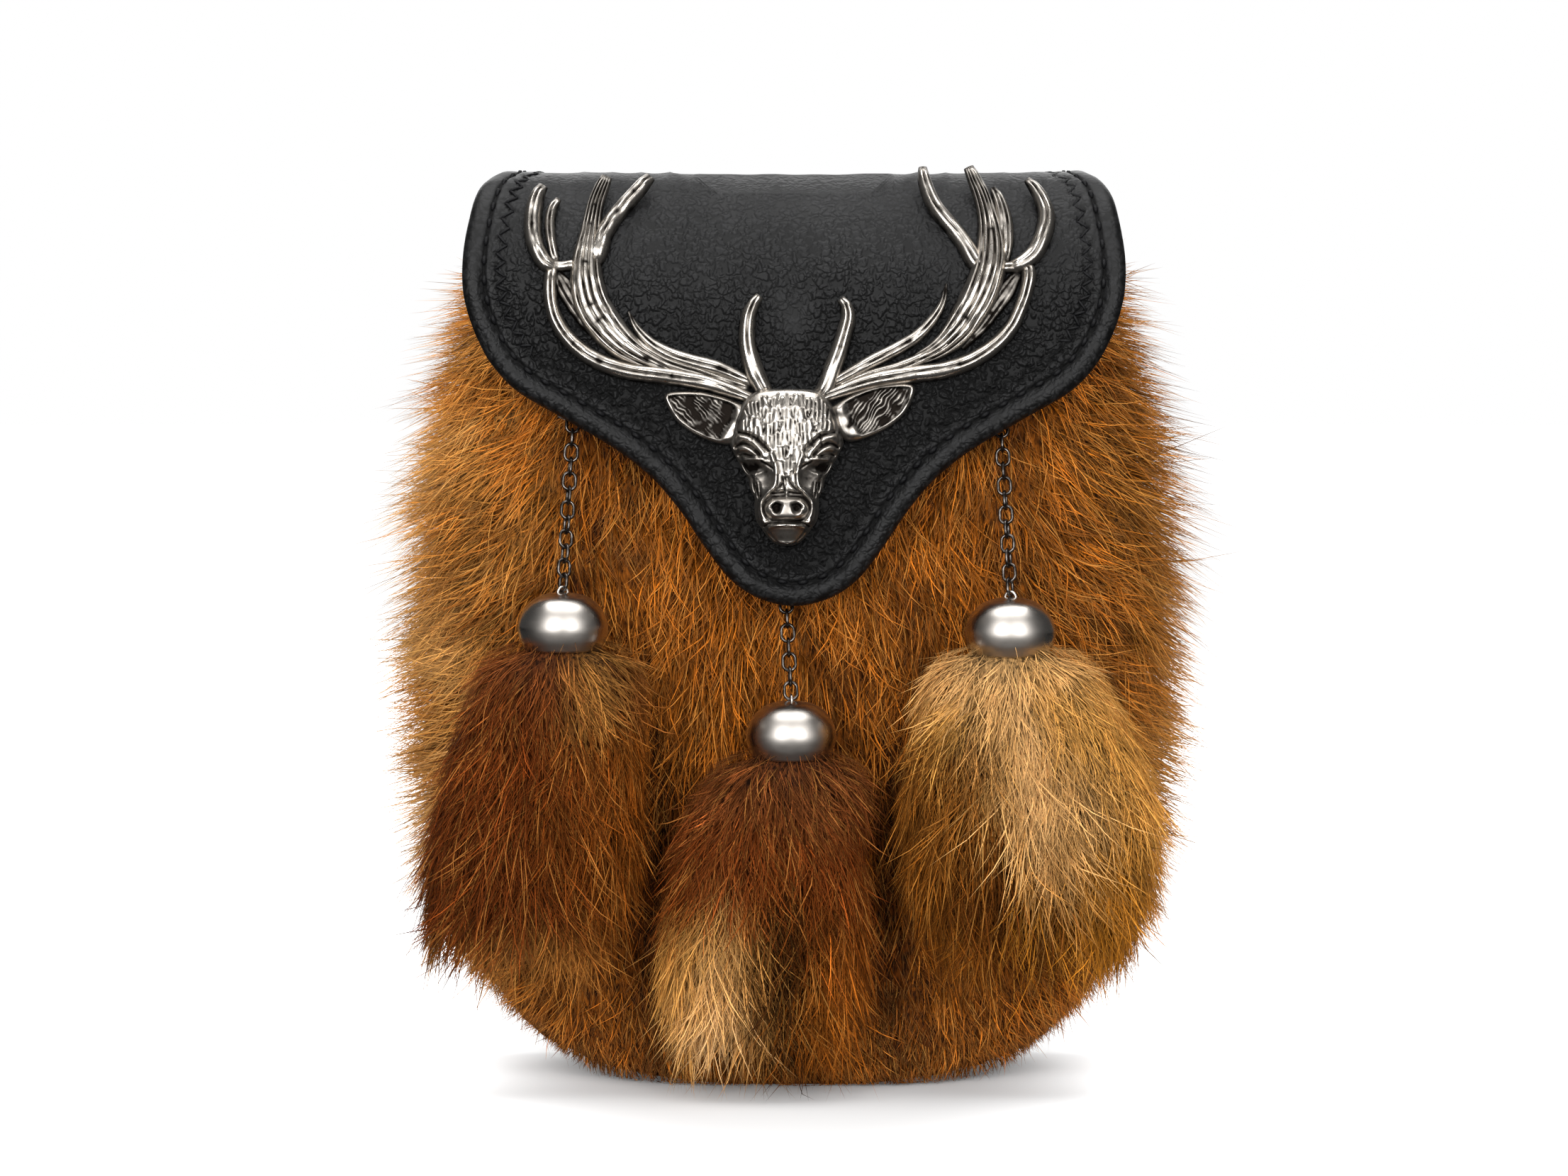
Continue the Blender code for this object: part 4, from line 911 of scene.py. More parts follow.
SECTION_COLUMNS = "height middle half_width front back"
TASSELS = {
    "left": table(
        SECTION_COLUMNS, (90.0, -48.4, 14.5, -40.5, -22.5), (78.0, -50.6, 19.0, -42.3, -22.0),
        (64.0, -52.8, 21.5, -43.0, -22.0), (50.0, -55.0, 22.0, -43.5, -22.5),
        (36.0, -58.0, 19.5, -42.0, -24.0),
    ),
    "centre": table(
        SECTION_COLUMNS, (67.0, -1.4, 14.5, -40.5, -22.5), (55.5, -4.6, 19.0, -42.3, -22.0),
        (42.0, -5.8, 21.0, -43.0, -22.8), (29.0, -6.2, 21.5, -43.5, -24.8), (17.0, -6.6, 19.0, -42.5, -27.5),
    ),
    "right": table(
        SECTION_COLUMNS, (89.0, 45.6, 15.5, -40.5, -22.5), (77.0, 47.4, 22.0, -42.5, -22.0),
        (62.5, 48.8, 26.5, -43.5, -22.0), (48.0, 49.6, 25.5, -43.5, -22.5), (35.0, 50.2, 21.0, -42.0, -24.0),
    ),
}
TASSEL_SLOTS = {"left": "dark_fur", "centre": "dark_fur", "right": "tan_fur"}
TASSEL_BACK = -18.4  # the hair behind a tassel lies flat against the pouch
NECK_RADIUS = 6.9
CAP_HEIGHT = 12.0
NECK_RISE = 3.5
CORE_INSETS = (1.0, 2.2, 3.2, 3.6, 4.0)  # how far the core lies inside the solid's sections


def tassel_core(drop, rows, columns):
    """A closed grid on the tassel's core: its neck in the cap, its shoulder and its body down to the foot."""
    foot = drop.cap_top - CAP_HEIGHT
    sections = [(height, drop.cap_x, radius, CAP_Y - radius, CAP_Y + radius)
                for height, radius in ((foot + NECK_RISE, NECK_RADIUS - 1.0), (foot, NECK_RADIUS))]
    for s, inside in zip(TASSELS[drop.name], CORE_INSETS):
        sections.append((s.height, s.middle, s.half_width - inside, s.front + inside, s.back + 2.0))
    height, middle, half, front, back = resample(curve_through(sections, 8), rows).T[..., None]
    angles = np.arange(columns) * 2 * math.pi / columns - math.pi / 2
    across, deep = [np.sign(turn) * np.abs(turn) ** 0.85 for turn in (np.cos(angles), np.sin(angles))]
    grid = np.broadcast_arrays(middle + half * across, (front + back) / 2 + (back - front) / 2 * deep, height)
    return np.stack(grid, axis=-1)


def left_tassel_colour(u, v):
    """Reddish brown, greyer at the top, tan at its upper right and darkest low on the left."""
    brown, orange, gold = fur_colours("brown", "orange", "gold")
    return layered(
        brown * 0.66,
        (orange * 0.7, 0.5 * rising(-0.1, 0.9, u)),
        (0, 0.3 * rising(0.4, 0.7, v) * falling(0.84, 0.96, v)),
        (brown * (0.9, 1.25, 2.3), 0.7 * falling(0.02, 0.26, v)),
        (gold * 0.58, 0.55 * hump(u, 0.45, 0.3) * falling(0.1, 0.34, v)),
        (brown * 0.42, 0.6 * rising(0.1, 0.7, -u) * rising(0.55, 0.85, v)),
        (gold * 0.7, 0.45 * rising(0.86, 1.05, v)),
    )


def centre_tassel_colour(u, v):
    """Grey brown at the top; a pale patch low on the left, a dark streak, orange brown low on the right."""
    brown, orange, gold, cream = fur_colours("brown", "orange", "gold", "cream")
    return layered(
        brown * 0.74,
        (orange * 0.55, 0.5 * rising(0.3, 0.7, v)),
        (brown * (0.75, 1.1, 2.1), 0.75 * falling(0.05, 0.34, v)),
        (gold * 0.95, 0.95 * hump(u, -0.55, 0.5, 3) * rising(0.45, 0.66, v)),
        (cream * 1.05, 0.95 * hump(u, -0.42, 0.24) * hump(v, 0.92, 0.26)),
        (brown * 0.04, hump(u, 0.16, 0.27) * rising(0.4, 0.6, v)),
        (orange * 0.7, 0.8 * hump(u, 0.62, 0.24) * rising(0.6, 0.8, v)),
    )


def right_tassel_colour(u, v):
    """Pale down the top and middle, taupe beside it, golden below, orange to the left, dark low left."""
    brown, orange, gold, cream, amber = fur_colours("brown", "orange", "gold", "cream", "amber")
    taupe = np.maximum(hump(u, -0.38, 0.2) * falling(0.25, 0.5, v),
                       hump(u, 0.42, 0.16) * rising(0.1, 0.3, v) * falling(0.5, 0.8, v))
    stripe = np.maximum(hump(u - 0.3 * v, -0.08, 0.24) * falling(0.45, 0.9, v), 0.7 * falling(0.02, 0.16, v))
    dark = np.maximum(hump(u, -0.3, 0.15) * rising(0.3, 0.6, v), hump(u, 0.08, 0.1) * rising(0.62, 0.8, v))
    return layered(
        amber * 0.66,
        (gold * 1.2, 0.85 * falling(0.3, 0.8, v)),
        (gold * (0.5, 0.56, 0.9), 0.8 * taupe),
        (cream * (1.2, 1.15, 1.0), 0.95 * stripe),
        (orange * 0.33, 0.92 * rising(0.16, 0.42, -u) * rising(0.14, 0.36, v)),
        (brown * 0.22, 0.9 * dark),
    )


TASSEL_COLOURS = {"left": left_tassel_colour, "centre": centre_tassel_colour, "right": right_tassel_colour}


def make_tassel(drop, hair, wool, fur, seed):
    """A tassel: a woolly core, and wisps that start round its neck and body and hang over one another."""
    grid = tassel_core(drop, 36, 44)
    seam = np.concatenate([grid, grid[:, :1]], axis=1)
    normals = grid_normals(seam)
    foot = drop.cap_top - CAP_HEIGHT
    sections = TASSELS[drop.name]
    depths = [-s.height for s in sections]
    colour = TASSEL_COLOURS[drop.name]

    def local(places):
        """From -1 to 1 across the tassel, and from 0 to 1 down it."""
        middle, half = [np.interp(-places[:, 2], depths, [getattr(s, column) for s in sections])
                        for column in ("middle", "half_width")]
        down = (foot - places[:, 2]) / (foot - sections[-1].height)
        return np.clip((places[:, 0] - middle) / half, -1.1, 1.1), down

    weights = np.where(seam[..., 2] > foot - 0.3, 0.0, np.where(normals[..., 1] > 0.5, 0.35, 1.0))
    for layer, coat in enumerate(coats_of("tassel", fur)):
        rng = np.random.default_rng(seed + layer)
        roots, ups = scatter(rng, seam, normals, weights, coat.wisps)
        u, v = local(roots)
        lean = u * np.interp(v, [0, 0.3, 0.7, 1], [1.5, 0.6, 0.36, 0.26]) + 0.24 * wander(roots, 10, seed + 3)
        lean += 0.12 * rng.normal(size=coat.wisps) - 0.5 * (drop.name == "left") * v * rising(0, 0.9, -u)
        ways = np.stack([lean, np.full(coat.wisps, -0.03), -np.ones(coat.wisps)], axis=1)
        ways = unit(ways - ups * (ways * ups).sum(1, keepdims=True))
        lift = np.interp(v, [0, 0.25, 0.6, 1], [0.06, 0.15, 0.25, 0.28]) * coat.lift
        ways = unit(ways + ups * (lift * rng.uniform(0.7, 1.3, coat.wisps))[:, None])
        lengths = np.interp(v, [0, 0.25, 0.7, 1], [9, 13, 17, 16]) * rng.uniform(0.8, 1.15, coat.wisps)
        off, curl = 0.2 + 2.2 * (coat.stations == 2), np.full(coat.wisps, 0.08)
        path, pick = grow(rng, roots + ups * off, ups, ways, lengths * coat.length, coat, 1.4, curl)
        path[..., 2] = np.maximum(path[..., 2], HAIR_FLOOR)
        path[..., 1] = np.minimum(path[..., 1], TASSEL_BACK)
        widths = hair_widths(rng, len(path), coat)
        base = colour(u + 0.08 * wander(roots, 7, seed + 5), v + 0.05 * wander(roots, 8, seed + 6))
        blond = fur_colours("gold")[0] * 0.4 + base[pick] * 0.9
        tints = strand_tints(rng, base, pick, coat, blond, (0.4, 0.8, 1.1, 1.35),
                             base[pick][:, None, :] * 1.4)
        settle(strand_object(f"tassel_{coat.name}_{drop.name}", path, widths, ups[pick], tints, hair),
               TASSEL_SLOTS[drop.name], f"tassel_{drop.name}")
    points, faces = grid.reshape(-1, 3), grid_faces(*grid.shape[:2], closed=True)
    core = array_object(f"tassel_core_{drop.name}", points, [faces], wool)
    close_up(core)
    # the core takes the tassel's colours at half their strength: painted shade of the deep coat between the
    # hairs
    point_values(core, "tint", colour(*local(points)) * 0.5)
    settle(core, TASSEL_SLOTS[drop.name])


# ---- the flap

RIM_WIDTH = 4.6  # of the padded edge
RIM_ROUND, RIM_DROP = 2.2, 2.5  # its rounded outer corner
RIM_RISE = (0.2, 1.2)  # how far it stands proud over the fold, and on the front
RIM_FLAT_ABOVE, RIM_FULL_BELOW = 181.0, 166.0
SEAM = 4.8  # the stitched groove beside it, from the flap's edge
SEAM_DEPTH = 0.5
BAND = 6.4  # the middle of the puffed band between the two lines of stitching
BAND_RISE = 0.34
ZIGZAG = 8.2  # the zigzag line, from the edge
ZIGZAG_SWING = 1.15
ZIGZAG_PITCH = 4.4
ZIGZAG_DEPTH = 0.4
STITCHED_ABOVE = 156.0  # the zigzag has thread above this height, and is only tooled below
STITCH_SHOWN = 0.5  # of the straight stitches' pitch
SEAM_END, ZIGZAG_END = 186.0, 187.0  # heights on the back down to which the stitching goes
SEAM_POINTS, ZIGZAG_POINTS = 1200, 1600  # of the outlines that it follows
EDGE_THREAD, EDGE_SINK = 0.5, 0.05  # half the thread's width, and how far its ends lie in the leather
ZIGZAG_THREAD, ZIGZAG_SINK = 0.32, 0.0
FLAP_POINTS, BACK_POINTS, RAY_POINTS = 540, 50, 150
FLAP_CENTRE_HEIGHT = 160.0
INSET_STATIONS = (
    0.0, 0.12, 0.35, 0.7, 1.15, 1.65, 2.2, 2.9, 3.5, 3.9, 4.25, 4.5, 4.65, 4.8, 4.95, 5.15, 5.5, 6.0,
    6.5, 6.85, 7.1, 7.35, 7.6, 7.85, 8.1, 8.35, 8.6, 8.85, 9.1, 9.35, 9.7, 10.4, 11.4,
)
INNER_STATIONS = 9
# The flap's inner face, from its edge in: how deep, and how far from the edge
INNER_FACE = ((2.75, 0.1), (3.1, 0.6), (3.1, 3.0), (3.0, 12.0))
INNER_REACH = 12.5  # farther in than all of them
INNER_LAST = 0.65  # of the way to its middle, where its last ring lies


def swing(lengths):
    """How far the zigzag line is off its middle at those places along the edge."""
    phase = lengths / ZIGZAG_PITCH % 1.0
    return ZIGZAG_SWING * (4 * np.abs(phase - 0.5) - 1)


def flap_relief(distance, lengths, along):
    """How far the leather stands off the flap's face, by distance from its edge and place along it."""
    share = rising(along_at_height(RIM_FLAT_ABOVE), along_at_height(RIM_FULL_BELOW), along)
    rise = RIM_RISE[0] + (RIM_RISE[1] - RIM_RISE[0]) * share
    corner = RIM_DROP * (1 - np.sqrt(np.clip(1 - (1 - np.clip(distance / RIM_ROUND, 0, 1)) ** 2, 0, 1)))
    plump = 1 + 0.12 * wander(np.stack([lengths, distance * 0.3], -1), 5.0, 33)
    rim = rise * plump * falling(RIM_WIDTH - 1.6, RIM_WIDTH, distance) - corner
    puff = 0.55 + 0.45 * np.cos(2 * math.pi * lengths / ZIGZAG_PITCH)
    band = BAND_RISE * puff * (0.35 + 0.65 * share) * hump(distance, BAND, 0.95)
    tooled = ZIGZAG_DEPTH * hump(distance, ZIGZAG + swing(lengths), 0.32)
    return rim - SEAM_DEPTH * hump(distance, SEAM, 0.33) + band - tooled


def make_flap(material):
    """The flap: rings of points from its edge to its middle, lifted by its relief, and a plain inner face."""
    edge = flap_outline(FLAP_POINTS)
    loop = np.vstack([edge, np.linspace(edge[-1], edge[0], BACK_POINTS)[1:-1]])
    lengths = np.concatenate([lengths_along(edge), np.zeros(BACK_POINTS - 2)])
    centre = np.array([0.0, along_at_height(FLAP_CENTRE_HEIGHT)])
    shares = np.linspace(0, 1, RAY_POINTS)
    flat = (loop[:, None, :] + (centre - loop)[:, None, :] * shares[None, :, None]).reshape(-1, 2)
    to_loop, to_edge = np.full((2, len(flat)), 1e9)
    nearest = np.zeros(len(flat), int)
    for i in range(len(loop)):
        away = segment_distance(flat, loop[i], loop[(i + 1) % len(loop)])
        to_loop = np.minimum(to_loop, away)
        if i < len(edge) - 1:
            nearest = np.where(away < to_edge, i, nearest)
            to_edge = np.minimum(to_edge, away)
    to_loop, to_edge, near_length = [a.reshape(len(loop), -1) for a in (to_loop, to_edge, lengths[nearest])]

    def walk_in(distance, last):
        """How much of the way to the middle lies between each place of the loop and that distance from it."""
        ends = [np.argmax(row > last) + 1 for row in to_loop]
        return np.array([np.interp(distance, row[:end], shares[:end]) for row, end in zip(to_loop, ends)])

    last = INSET_STATIONS[-1]
    starts = walk_in(last, last)
    rings = [walk_in(station, last) for station in INSET_STATIONS[:-1]]
    rings += [starts + (1 - starts) * k / INNER_STATIONS for k in range(INNER_STATIONS)]
    top, grain, groove = [], [], []
    for share in rings:
        place = loop + (centre - loop) * share[:, None]
        distance = np.array([np.interp(s, shares, row) for s, row in zip(share, to_edge)])
        nearby = (share * (RAY_POINTS - 1) + 0.5).astype(int).clip(0, RAY_POINTS - 1)
        length = near_length[np.arange(len(loop)), nearby]
        fold = 0.07 * wander(place * np.array([0.35, 1.0]), 5.0, 31) * hump(place[:, 1], 12, 14)
        lift = flap_relief(distance, length, place[:, 1]) + 0.10 * wander(place, 7.0, 32) + fold
        top.append(on_flap(*place.T, lift))
        down = rising(along_at_height(189), along_at_height(150), place[:, 1] + 3 * wander(place, 18.0, 34))
        grain.append((0.22 + 0.78 * down) * (0.3 + 0.7 * rising(SEAM + 0.4, BAND + 1, distance)))
        # groove: painted shade for the stitched groove and the tooled zigzag, which darkens the leather's
        # colour
        tooled = (0.5 + 0.5 * down) * hump(distance, ZIGZAG + swing(length), 0.34)
        groove.append(0.95 * hump(distance, SEAM, 0.42) + 0.8 * tooled)
    under = [(depth, walk_in(by, INNER_REACH)) for depth, by in INNER_FACE]
    under.append((FLAP_THICKNESS, np.full(len(loop), INNER_LAST)))
    under = [on_flap(*(loop + (centre - loop) * share[:, None]).T, -depth) for depth, share in under]
    stack = np.array([*reversed(top), *under])
    rows, columns = stack.shape[:2]
    poles = [on_flap(*centre, lift).reshape(1, 3) for lift in (0.0, -FLAP_THICKNESS)]
    first, count = np.arange(columns), rows * columns
    faces = [grid_faces(rows, columns, closed=True), fan(first, count),
             fan(first + count - columns, count + 1)]
    made = array_object("flap_leather", np.concatenate([stack.reshape(-1, 3), *poles]), faces, material)
    rest = np.zeros((len(under), columns))
    for name, values, inside in (("grain", grain, 0.3), ("groove", groove, 0.0)):
        values = np.clip([*reversed(values), *(rest + inside)], 0, 1).ravel()
        point_values(made, name, np.append(values, [inside, inside]))
    close_up(made)
    settle(made, "black_leather", "flap_panel", "flap_piping")


def capsules(name, starts, ends, ups, radius, sink, material):
    """Joined stitches: short round threads that arch from hole to hole, with both ends in the leather."""
    stations, sides = 6, 6
    t = np.linspace(0, 1, stations)[None, :, None]
    middles = starts[:, None, :] + (ends - starts)[:, None, :] * t
    middles = middles + ups[:, None, :] * (np.sin(math.pi * t) * radius * 0.9 - sink)
    out = ups[:, None, None, :]
    across = np.cross(unit(ends - starts)[:, None, None, :], out)
    angles = (np.arange(sides) * 2 * math.pi / sides)[None, None, :, None]
    swell = (radius * np.array([0.55, 0.9, 1.0, 1.0, 0.9, 0.55]))[None, :, None, None]
    points = middles[:, :, None, :] + swell * (np.cos(angles) * across + np.sin(angles) * out)
    last = (stations - 1) * sides
    tips = [[0, k + 1, k] for k in range(1, sides - 1)]
    tips += [[last, last + k, last + k + 1] for k in range(1, sides - 1)]
    parts = (grid_faces(stations, sides, True), tips)
    faces = [copies_of(part, len(starts), stations * sides) for part in parts]
    settle(array_object(name, points.reshape(-1, 3), faces, material), "black_leather")


def make_flap_stitching(material, pitch):
    """Straight stitching in the valley beside the rolled edge, and a zigzag inside it on the upper sides."""
    edge = flap_outline(SEAM_POINTS)
    line = edge[edge[:, 1] > along_at_height(SEAM_END, front=False)]
    line = line - turned_left(line) * SEAM
    at = np.arange(0, lengths_along(line)[-1] - pitch, pitch) + 0.5
    starts, ends = points_at(line, at), points_at(line, at + pitch * STITCH_SHOWN)
    capsules("edge_stitches", on_flap(*starts.T, -SEAM_DEPTH * 0.6), on_flap(*ends.T, -SEAM_DEPTH * 0.6),
             flap_normals(*starts.T), EDGE_THREAD, EDGE_SINK, material)
    edge = flap_outline(ZIGZAG_POINTS)
    knots = np.arange(0, lengths_along(edge)[-1], ZIGZAG_PITCH / 2)
    track = points_at(edge, knots)
    track = track - turned_left(track) * (ZIGZAG + swing(knots))[:, None]
    starts, ends = track[:-1], track[1:]
    sewn = ((starts[:, 1] < along_at_height(STITCHED_ABOVE))
            & (starts[:, 1] > along_at_height(ZIGZAG_END, front=False)))
    starts, ends = starts[sewn], ends[sewn]
    capsules("zigzag_stitches", on_flap(*starts.T, 0.1 - ZIGZAG_DEPTH), on_flap(*ends.T, 0.1 - ZIGZAG_DEPTH),
             flap_normals(*starts.T), ZIGZAG_THREAD, ZIGZAG_SINK, material)


# ---- the badge

BADGE_LIFT = 0.35  # off the leather
BADGE_BEND = 180.0  # the height above which the casting stands straight while the leather bends away
BADGE_LEAN = 0.5
STRAND_COLUMNS = "name ridges rise knots"  # a strand's knots are x, height and half width
LEFT_ANTLER = table(
    STRAND_COLUMNS,
    ("main_beam", 2, 1.0, (
        (-7.5, 145.2, 1.2), (-16.9, 148.4, 1.7), (-22.5, 149.6, 1.8), (-28.1, 150.4, 1.9),
        (-33.8, 151.1, 1.9), (-38.9, 152.5, 1.9), (-43.6, 154.9, 1.8), (-47.3, 158.2, 1.7),
        (-49.7, 161.9, 1.6), (-50.8, 165.7, 1.5), (-51, 169.4, 1.5), (-50.6, 173, 1.3))),
    ("top_tine", 2, 1.0, (
        (-49.6, 172.6, 1.0), (-52, 173.6, 1.7), (-53.8, 176.4, 1.8), (-54.7, 179.3, 1.9), (-54.9, 182.6, 1.9),
        (-54.6, 185.8, 1.8), (-53.9, 188.2, 1.5), (-52.9, 190.1, 1.1))),
    ("trunk", 5, 0.85, (
        (-24, 150.6, 1.0), (-26.3, 151.6, 1.4), (-30.9, 153.7, 2.2), (-35.2, 156.3, 3.2), (-38.9, 160, 3.8),
        (-42, 164.7, 3.9), (-43.3, 169.4, 3.7), (-43.5, 173.2, 3.2), (-43.3, 176, 2.9), (-42.9, 178.8, 2.4),
        (-42.4, 182.5, 2.0), (-41.7, 186.3, 1.8), (-40.5, 189.6, 1.6), (-39.5, 192, 1.2))),
    ("fork", 2, 0.95, (
        (-42.3, 173, 1.6), (-41.1, 176, 2.2), (-39.8, 179.7, 1.9), (-37.5, 183.5, 1.8), (-34.7, 186.8, 1.7),
        (-32.3, 189.6, 1.6), (-30.3, 192, 1.2))),
    ("inner_tine", 2, 0.9, (
        (-8.5, 148.8, 1.1), (-15.9, 151.8, 1.6), (-21.6, 153.3, 1.6), (-26.3, 154.9, 1.5), (-30, 157.1, 1.25),
        (-32.8, 160.1, 0.85), (-34.6, 163.6, 0.25))),
    ("middle_bar", 2, 0.8, (
        (-9.5, 147.6, 0.9), (-18.8, 150.7, 1.2), (-25.3, 152.6, 1.4), (-30, 154.9, 1.4), (-33.8, 157.9, 1.1),
        (-36.5, 161.5, 0.6))),
    ("small_tine", 2, 0.8, (
        (-50, 174, 0.9), (-51, 178.8, 1.1), (-51.3, 182.1, 1.2), (-50.9, 184.9, 1.1), (-49.6, 187.3, 0.7))),
    ("bridge", 2, 0.8, ((-51.2, 173.4, 1.0), (-48.5, 173.0, 1.1), (-45, 173.6, 1.1))),
    ("palm", 3, 0.45, (
        (-49.6, 171.6, 1.0), (-47.8, 168.5, 2.0), (-45.9, 165.2, 1.9), (-43.1, 161, 1.5),
        (-39.4, 156.9, 0.8))),
    ("brow_tine", 2, 1.0, (
        (-5.4, 145.6, 1.7), (-6.4, 147.4, 1.9), (-8.2, 151, 2.1), (-9.5, 155.4, 1.9), (-9.8, 159.1, 1.75),
        (-9.4, 162.9, 1.6), (-8.4, 165.2, 1.3), (-7.2, 166.9, 0.9))),
)
RIGHT_ANTLER = table(
    STRAND_COLUMNS,
    ("main_beam", 2, 1.0, (
        (4.5, 145.2, 1.2), (14.1, 148.6, 1.7), (19.7, 149.9, 1.9), (25.8, 150.7, 1.9), (31.9, 151.6, 1.9),
        (37.5, 153.7, 1.8), (42.2, 156.8, 1.7), (45.5, 160.5, 1.6), (47.3, 164.3, 1.5), (48.6, 168, 1.5),
        (49.2, 171.3, 1.6), (48.4, 174, 1.4))),
    ("top_tine", 2, 1.0, (
        (44.6, 172.8, 1.1), (47.4, 173.4, 1.7), (50.4, 175.8, 1.9), (52.4, 179.7, 1.9), (53.1, 183.5, 1.9),
        (52.1, 187.2, 1.6), (50.8, 189.4, 1.3), (49.2, 191.4, 0.8))),
    ("trunk", 5, 0.85, (
        (23.6, 152.8, 1.0), (25.8, 153.7, 1.4), (30, 155.8, 2.2), (33.8, 159.1, 3.1), (37, 163.8, 3.7),
        (39.4, 168.5, 3.8), (40.9, 173.2, 3.6), (41.3, 176.9, 3.2), (41.1, 180.7, 2.6), (40.5, 184.4, 2.1),
        (39.4, 188.2, 1.8), (38, 191.5, 1.5), (36.9, 194, 1.1))),
    ("fork", 2, 0.95, (
        (39.6, 171.5, 1.5), (37.5, 174.6, 1.9), (35.6, 177.9, 1.8), (32.8, 181.6, 1.7), (30, 184.9, 1.7),
        (28.3, 188.6, 1.6), (27.4, 191.7, 1.4), (27.2, 194, 0.9))),
    ("inner_tine", 2, 0.9, (
        (7.5, 148.4, 1.1), (15, 152.6, 1.5), (20.6, 155.4, 1.5), (25.3, 158.2, 1.4), (28.6, 161.5, 1.2),
        (30.9, 165.2, 0.85), (31.9, 169.4, 0.25))),
    ("middle_bar", 2, 0.8, (
        (8.4, 147.4, 0.9), (15, 150.2, 1.2), (21.6, 151.9, 1.4), (27.2, 154.2, 1.4), (31.9, 157.2, 1.1),
        (34.6, 161, 0.6))),
    ("small_tine", 3, 0.8, (
        (44.2, 174, 1.0), (44.4, 178.8, 1.8), (44, 183.5, 1.8), (43, 187.2, 1.3), (41.9, 189.6, 0.7))),
    ("bridge", 2, 0.8, ((42.5, 173, 1.0), (45.6, 172.8, 1.2), (49, 173.6, 1.2))),
    ("palm", 3, 0.45, (
        (46.9, 171.6, 1.0), (44.5, 168, 1.9), (42, 164.6, 1.8), (39, 160.5, 1.5), (35, 156.1, 0.8))),
    ("brow_tine", 2, 1.0, (
        (4.6, 145.6, 1.7), (6.4, 147.4, 1.9), (8, 151.6, 1.95), (9.4, 155.4, 1.85), (10.5, 159.1, 1.7),
        (11.3, 162.4, 1.6), (10.9, 164.7, 1.3), (9.7, 166.3, 0.9))),
)
BAR_THICKNESS = (1.0, 0.72)  # of a bar of no width, and more for each millimetre of its half width
GROOVE = 0.19  # half the width of a cast groove
LOW_RISE = 0.5  # strands that rise less than this lie behind the others, and get painted shade

HEAD_MIDDLE = -1.55
HEAD_EDGE = 0.95  # how far the head's outline stands off
HEAD_SHAPE = table(  # down the head, whose middle stands off by the rise
    "height half_width rise",
    (147.3, 4.9, 2.4), (146.4, 7.4, 3.6), (144.0, 9.5, 4.7), (140.7, 10.8, 5.4), (138.4, 11.3, 5.7),
    (136.4, 11.8, 5.9), (134.4, 11.1, 6.0), (132.0, 9.8, 5.9), (130.4, 8.9, 5.8), (128.8, 8.0, 5.8),
    (126.8, 7.6, 5.9), (125.0, 6.7, 6.1), (123.5, 6.7, 6.7), (121.5, 6.6, 7.0), (120.0, 6.2, 6.8),
    (118.7, 5.3, 6.2), (117.0, 4.1, 5.4), (115.7, 2.8, 4.2), (115.0, 1.2, 2.6),
)
# Lines of the face, as (distance from its middle, height) along them
FACE_LINES = table(
    "line width rise dark",
    (((9.9, 138.3), (7.1, 137.5), (4.8, 135.6), (3.6, 134.3)), 0.36, -0.8, 1.0),
    (((9.8, 137.3), (7.3, 136.5), (5.4, 134.6), (4.6, 133.2)), 0.40, 0.45, 0.0),
    (((10.8, 135.2), (9.1, 136.0), (7.4, 135.4), (5.6, 133.6)), 0.36, -0.8, 1.0),
    (((10.7, 134.4), (9.1, 134.9), (7.5, 134.5), (6.4, 133.7)), 0.40, 0.55, 0.0),
    (((10.5, 133.4), (9.0, 133.8), (7.2, 133.4)), 0.34, -0.8, 1.0),
    (((10.5, 132.6), (8.2, 132.6), (5.7, 132.7), (4.4, 132.0)), 0.30, 0.5, 0.0),
    (((5.2, 132.3), (3.8, 131.5), (2.8, 130.8)), 0.28, -0.5, 1.0),
    (((3.3, 134.0), (2.4, 131.3), (2.1, 128.9), (2.6, 127.0), (3.9, 125.8), (5.4, 123.9), (6.1, 122.1),
      (5.7, 120.3), (4.2, 119.5)), 0.48, 0.75, 0.0),
    (((0.3, 128.8), (1.0, 127.5), (2.1, 126.3)), 0.25, -0.5, 1.0),
    (((1.3, 123.3), (2.2, 123.5), (3.0, 122.9)), 0.42, -0.9, 1.0),
    (((0.6, 125.9), (2.9, 125.7)), 0.40, -0.7, 1.0),
    (((0.4, 125.2), (3.3, 124.9), (4.7, 123.2), (4.4, 121.3), (3.0, 120.2), (0.0, 120.1)), 0.36, -0.8, 0.9),
    (((5.1, 118.7), (3.2, 119.7), (0.0, 120.0)), 0.30, -0.8, 1.0),
    (((4.4, 118.0), (3.0, 118.9), (0.0, 119.2)), 0.28, 0.45, 0.0),
    (((3.9, 117.0), (2.3, 115.8), (0.0, 115.4)), 0.28, 0.35, 0.0),
    *[(((7.45 - k * 0.62, 127.9), (7.05 - k * 0.58, 124.9)), 0.15, -0.4, 1.0) for k in range(4)],
)
# Lumps and hollows of the face. The higher the last number, the flatter their tops
FACE_LUMPS = table(
    "place radii rise dark flat",
    ((0.0, 122.4), (4.6, 2.4), 0.9, 0.2, 4),
    ((2.0, 122.6), (1.05, 1.3), -1.6, 1.0, 2),
    ((7.7, 131.1), (3.4, 1.5), -1.7, 1.0, 2),
    ((4.5, 129.2), (1.9, 2.4), -1.0, 0.75, 2),
    ((6.6, 127.4), (1.5, 1.6), -0.5, 0.6, 2),
    ((5.3, 121.8), (1.4, 2.2), 0.6, 0.0, 2),
    ((0.0, 117.3), (3.9, 1.6), -0.5, 0.5, 3),
)
HEAD_ROWS, HEAD_COLUMNS = 156, 108
